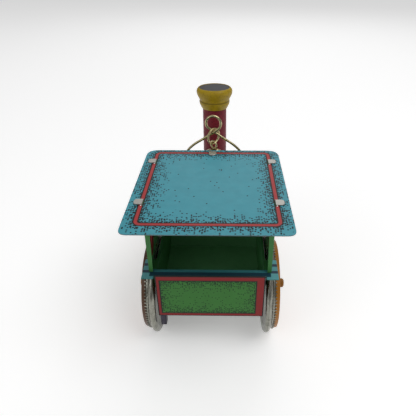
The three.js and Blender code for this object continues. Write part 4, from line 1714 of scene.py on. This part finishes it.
@dataclass
class Bell:
    """The chain link, the bell with its eye, and its clapper."""

    wire: float = 0.9
    turn: float = 45.0
    eye: float = 1.75
    radius: float = 6.2
    height: float = 11.0
    wall: float = 0.5
    hole: float = 0.8
    stem: float = 0.5
    collar_height: float = 0.6
    collar_reach: float = 0.9

    def build(self) -> None:
        """Makes the link, the eye, the stem, the dome and the clapper."""
        link_low, link_high = corners("chain_link")
        big = (link_high.z - link_low.z - self.wire) / 2
        link = self.ring("chain_link_ring", middle("chain_link"), big, self.turn)
        issue(Ticket("chain_link_ring", "link", "gilt_wire", ("chain_link",)), link, GILT_WIRE)

        top = corners("bell")[1].z
        axis = Vector((0, middle("bell").y, 0))
        eye_centre = Vector((0, axis.y, top + self.wire / 2 + SEAT / 2 + self.eye))
        ring = self.ring("bell_eye_ring", eye_centre, self.eye, -self.turn)
        issue(Ticket("bell_eye_ring", "bell", "gilt_wire"), ring, GILT_WIRE)

        stem = turned("bell_stem", self.stem_profile(top), Matrix.Translation(axis), 24)
        issue(Ticket("bell_stem", "bell", "gilt_wire", ("bell_eye",)), stem, GILT_WIRE)
        dome = turned("bell_dome", self.profile(top), Matrix.Translation(axis), 96)
        issue(Ticket("bell_dome", "bell", "bell_brass", ("bell",)), dome, BELL_BRASS)
        ball = softened("clapper", 0.02, smooth=True)
        issue(Ticket("clapper_ball", "clapper", "dark_tin", ("clapper",)), ball, DARK_TIN_AND_SHADE)

    def stem_profile(self, top: float) -> Profile:
        """The stem that holds the eye: a pin through the crown with a collar under it.

        Args:
            top: The height of the bell's crown.

        Returns:
            Points of radius and height.
        """
        collar, end = top - self.wall - SEAT, top + self.wire / 2
        foot, under, wide = collar - 1.4, collar - self.collar_height, self.stem + self.collar_reach
        return [
            (0, foot), (self.stem, foot), (self.stem, under), (wide, under), (wide, collar),
            (self.stem, collar), (self.stem, end), (0, end),
        ]

    def ring(self, name: str, centre: Vector, radius: float, turn: float) -> bpy.types.Mesh:
        """An upright wire ring.

        Args:
            name: The mesh's name.
            centre: Its centre.
            radius: The radius of the wire's middle.
            turn: How far it is turned about the vertical, in degrees.

        Returns:
            The mesh.
        """
        spin = Matrix.Rotation(math.radians(turn), 3, "Z")
        points = []
        for i in range(48):
            angle = 2 * math.pi * i / 48
            points.append(centre + spin @ Vector((radius * math.cos(angle), 0, radius * math.sin(angle))))
        return wire_mesh(name, points, self.wire, GILT_WIRE, closed=True)

    def profile(self, top: float) -> list[tuple[float, float]]:
        """The bell's wall, from the hole in its crown round the lip and back up the inside.

        Args:
            top: The height of its crown.

        Returns:
            Points of radius and height.
        """
        spots = ((0.3, 0.01), (0.63, 0.12), (0.84, 0.32), (0.91, 0.6), (0.95, 0.85))
        outer = [(self.radius * across, top - self.height * down) for across, down in spots]
        inner = [(across - self.wall, z - self.wall * 0.6) for across, z in outer][::-1]
        lip = top - self.height
        return eased([
            (self.hole, top), *outer, (self.radius, lip), (self.radius - self.wall * 0.8, lip), *inner,
            (self.hole, top - self.wall), (self.hole, top),
        ], 0.9, 5)


# ---- Studio ------------------------------------------------------------------------------------------


@dataclass
class Studio:
    """A pale floor, soft light from above and the sides, and the camera above and behind the cab.

    The camera's place and the floor's drop are in millimetres, and the floor's half width in metres.
    """

    camera_place: tuple[float, float, float] = (6.0, -159.85, 148.9)
    camera_turn: tuple[float, float, float] = (57.25, 0.0, 0.69)
    lens: float = 35.73
    shift: float = -0.03365
    sensor: float = 36.0
    floor: float = 3.0
    floor_drop: float = 0.2
    paper: str = "#fbfbfb"
    paper_glow: float = 0.28
    sky: float = 0.42
    lamps: tuple[tuple[str, tuple[float, float, float], float, float], ...] = (
        ("key", (0.35, -0.25, 0.75), 0.5, 2.4),
        ("fill", (-0.6, -0.5, 0.45), 0.45, 0.9),
        ("back", (0.1, 0.7, 0.6), 0.6, 1.2),
    )

    def build(self) -> None:
        """Sets up the camera, the floor, the sky and the lamps."""
        self.add_camera()
        self.add_floor()
        self.add_sky()
        for lamp in self.lamps:
            self.add_lamp(*lamp)

    def add_camera(self) -> None:
        """Stands the camera above and behind the cab, where it looks down on the roof."""
        camera = bpy.data.objects.new("camera", bpy.data.cameras.new("camera"))
        camera.data.sensor_width = self.sensor
        camera.data.lens = self.lens
        camera.data.shift_x = self.shift
        camera.data.clip_start, camera.data.clip_end = 0.01, 50.0
        camera.location = Vector(self.camera_place) * MM
        camera.rotation_euler = [math.radians(a) for a in self.camera_turn]
        bpy.context.scene.collection.objects.link(camera)
        bpy.context.scene.camera = camera
        bpy.context.scene.view_settings.view_transform = "Standard"

    def add_floor(self) -> None:
        """Lays a sheet of white backdrop paper: matt and even, and bright enough to fade the shadow."""
        shape = bmesh.new()
        bmesh.ops.create_grid(shape, x_segments=1, y_segments=1, size=self.floor)
        mesh = bpy.data.meshes.new("floor")
        shape.to_mesh(mesh)
        shape.free()
        floor = bpy.data.objects.new("floor", mesh)
        floor.location.z = -self.floor_drop * MM
        bpy.context.scene.collection.objects.link(floor)
        material, _, surface = new_material("paper_backdrop")
        looks = {
            "Base Color": linear(self.paper), "Roughness": 0.9, "Specular IOR Level": 0.1,
            "Emission Color": linear("#ffffff"), "Emission Strength": self.paper_glow,
        }
        for name, value in looks.items():
            surface.inputs[name].default_value = value
        mesh.materials.append(material)

    def add_sky(self) -> None:
        """A pale sky that darkens towards the horizon, so that polished metal has something to show."""
        world = bpy.data.worlds.new("sky")
        bpy.context.scene.world = world
        world.use_nodes = True
        tree = world.node_tree
        up = put(tree, SPLIT, put(tree, "ShaderNodeTexCoord", out="Generated"), out="Z")
        tone = put(tree, RANGE, up, -0.1, 0.7, 0.3, 1.0, interpolation_type="SMOOTHSTEP")
        background = tree.nodes["Background"]
        tree.links.new(put(tree, "ShaderNodeCombineColor", tone, tone, tone), background.inputs["Color"])
        background.inputs["Strength"].default_value = self.sky

    def add_lamp(self, name: str, place: tuple[float, float, float], size: float, power: float) -> None:
        """Hangs a square soft lamp that looks at the cab.

        Args:
            name: The lamp's name.
            place: Where it hangs, in metres.
            size: The length of its side, in metres.
            power: Its power in watts.
        """
        data = bpy.data.lights.new(name, "AREA")
        data.size = size
        data.energy = power
        lamp = bpy.data.objects.new(name, data)
        lamp.location = place
        aim = Vector((0.0, 0.0, 0.04)) - Vector(place)
        lamp.rotation_euler = aim.to_track_quat("-Z", "Y").to_euler()
        bpy.context.scene.collection.objects.link(lamp)


def main() -> None:
    """Builds the studio and the locomotive's sub-assemblies in order."""
    logging.basicConfig(level=logging.INFO, format="%(message)s")
    assemblies = (
        Studio(), Roof(), Cab(), Body(), Boiler(), Chimney(),
        Wheelset("rear", teeth=84, spokes=12), Wheelset("front", teeth=56, spokes=10), Bail(), Bell(),
    )
    for assembly in assemblies:
        assembly.build()
        log.info("%s is done", type(assembly).__name__)


if __name__ == "__main__":
    main()
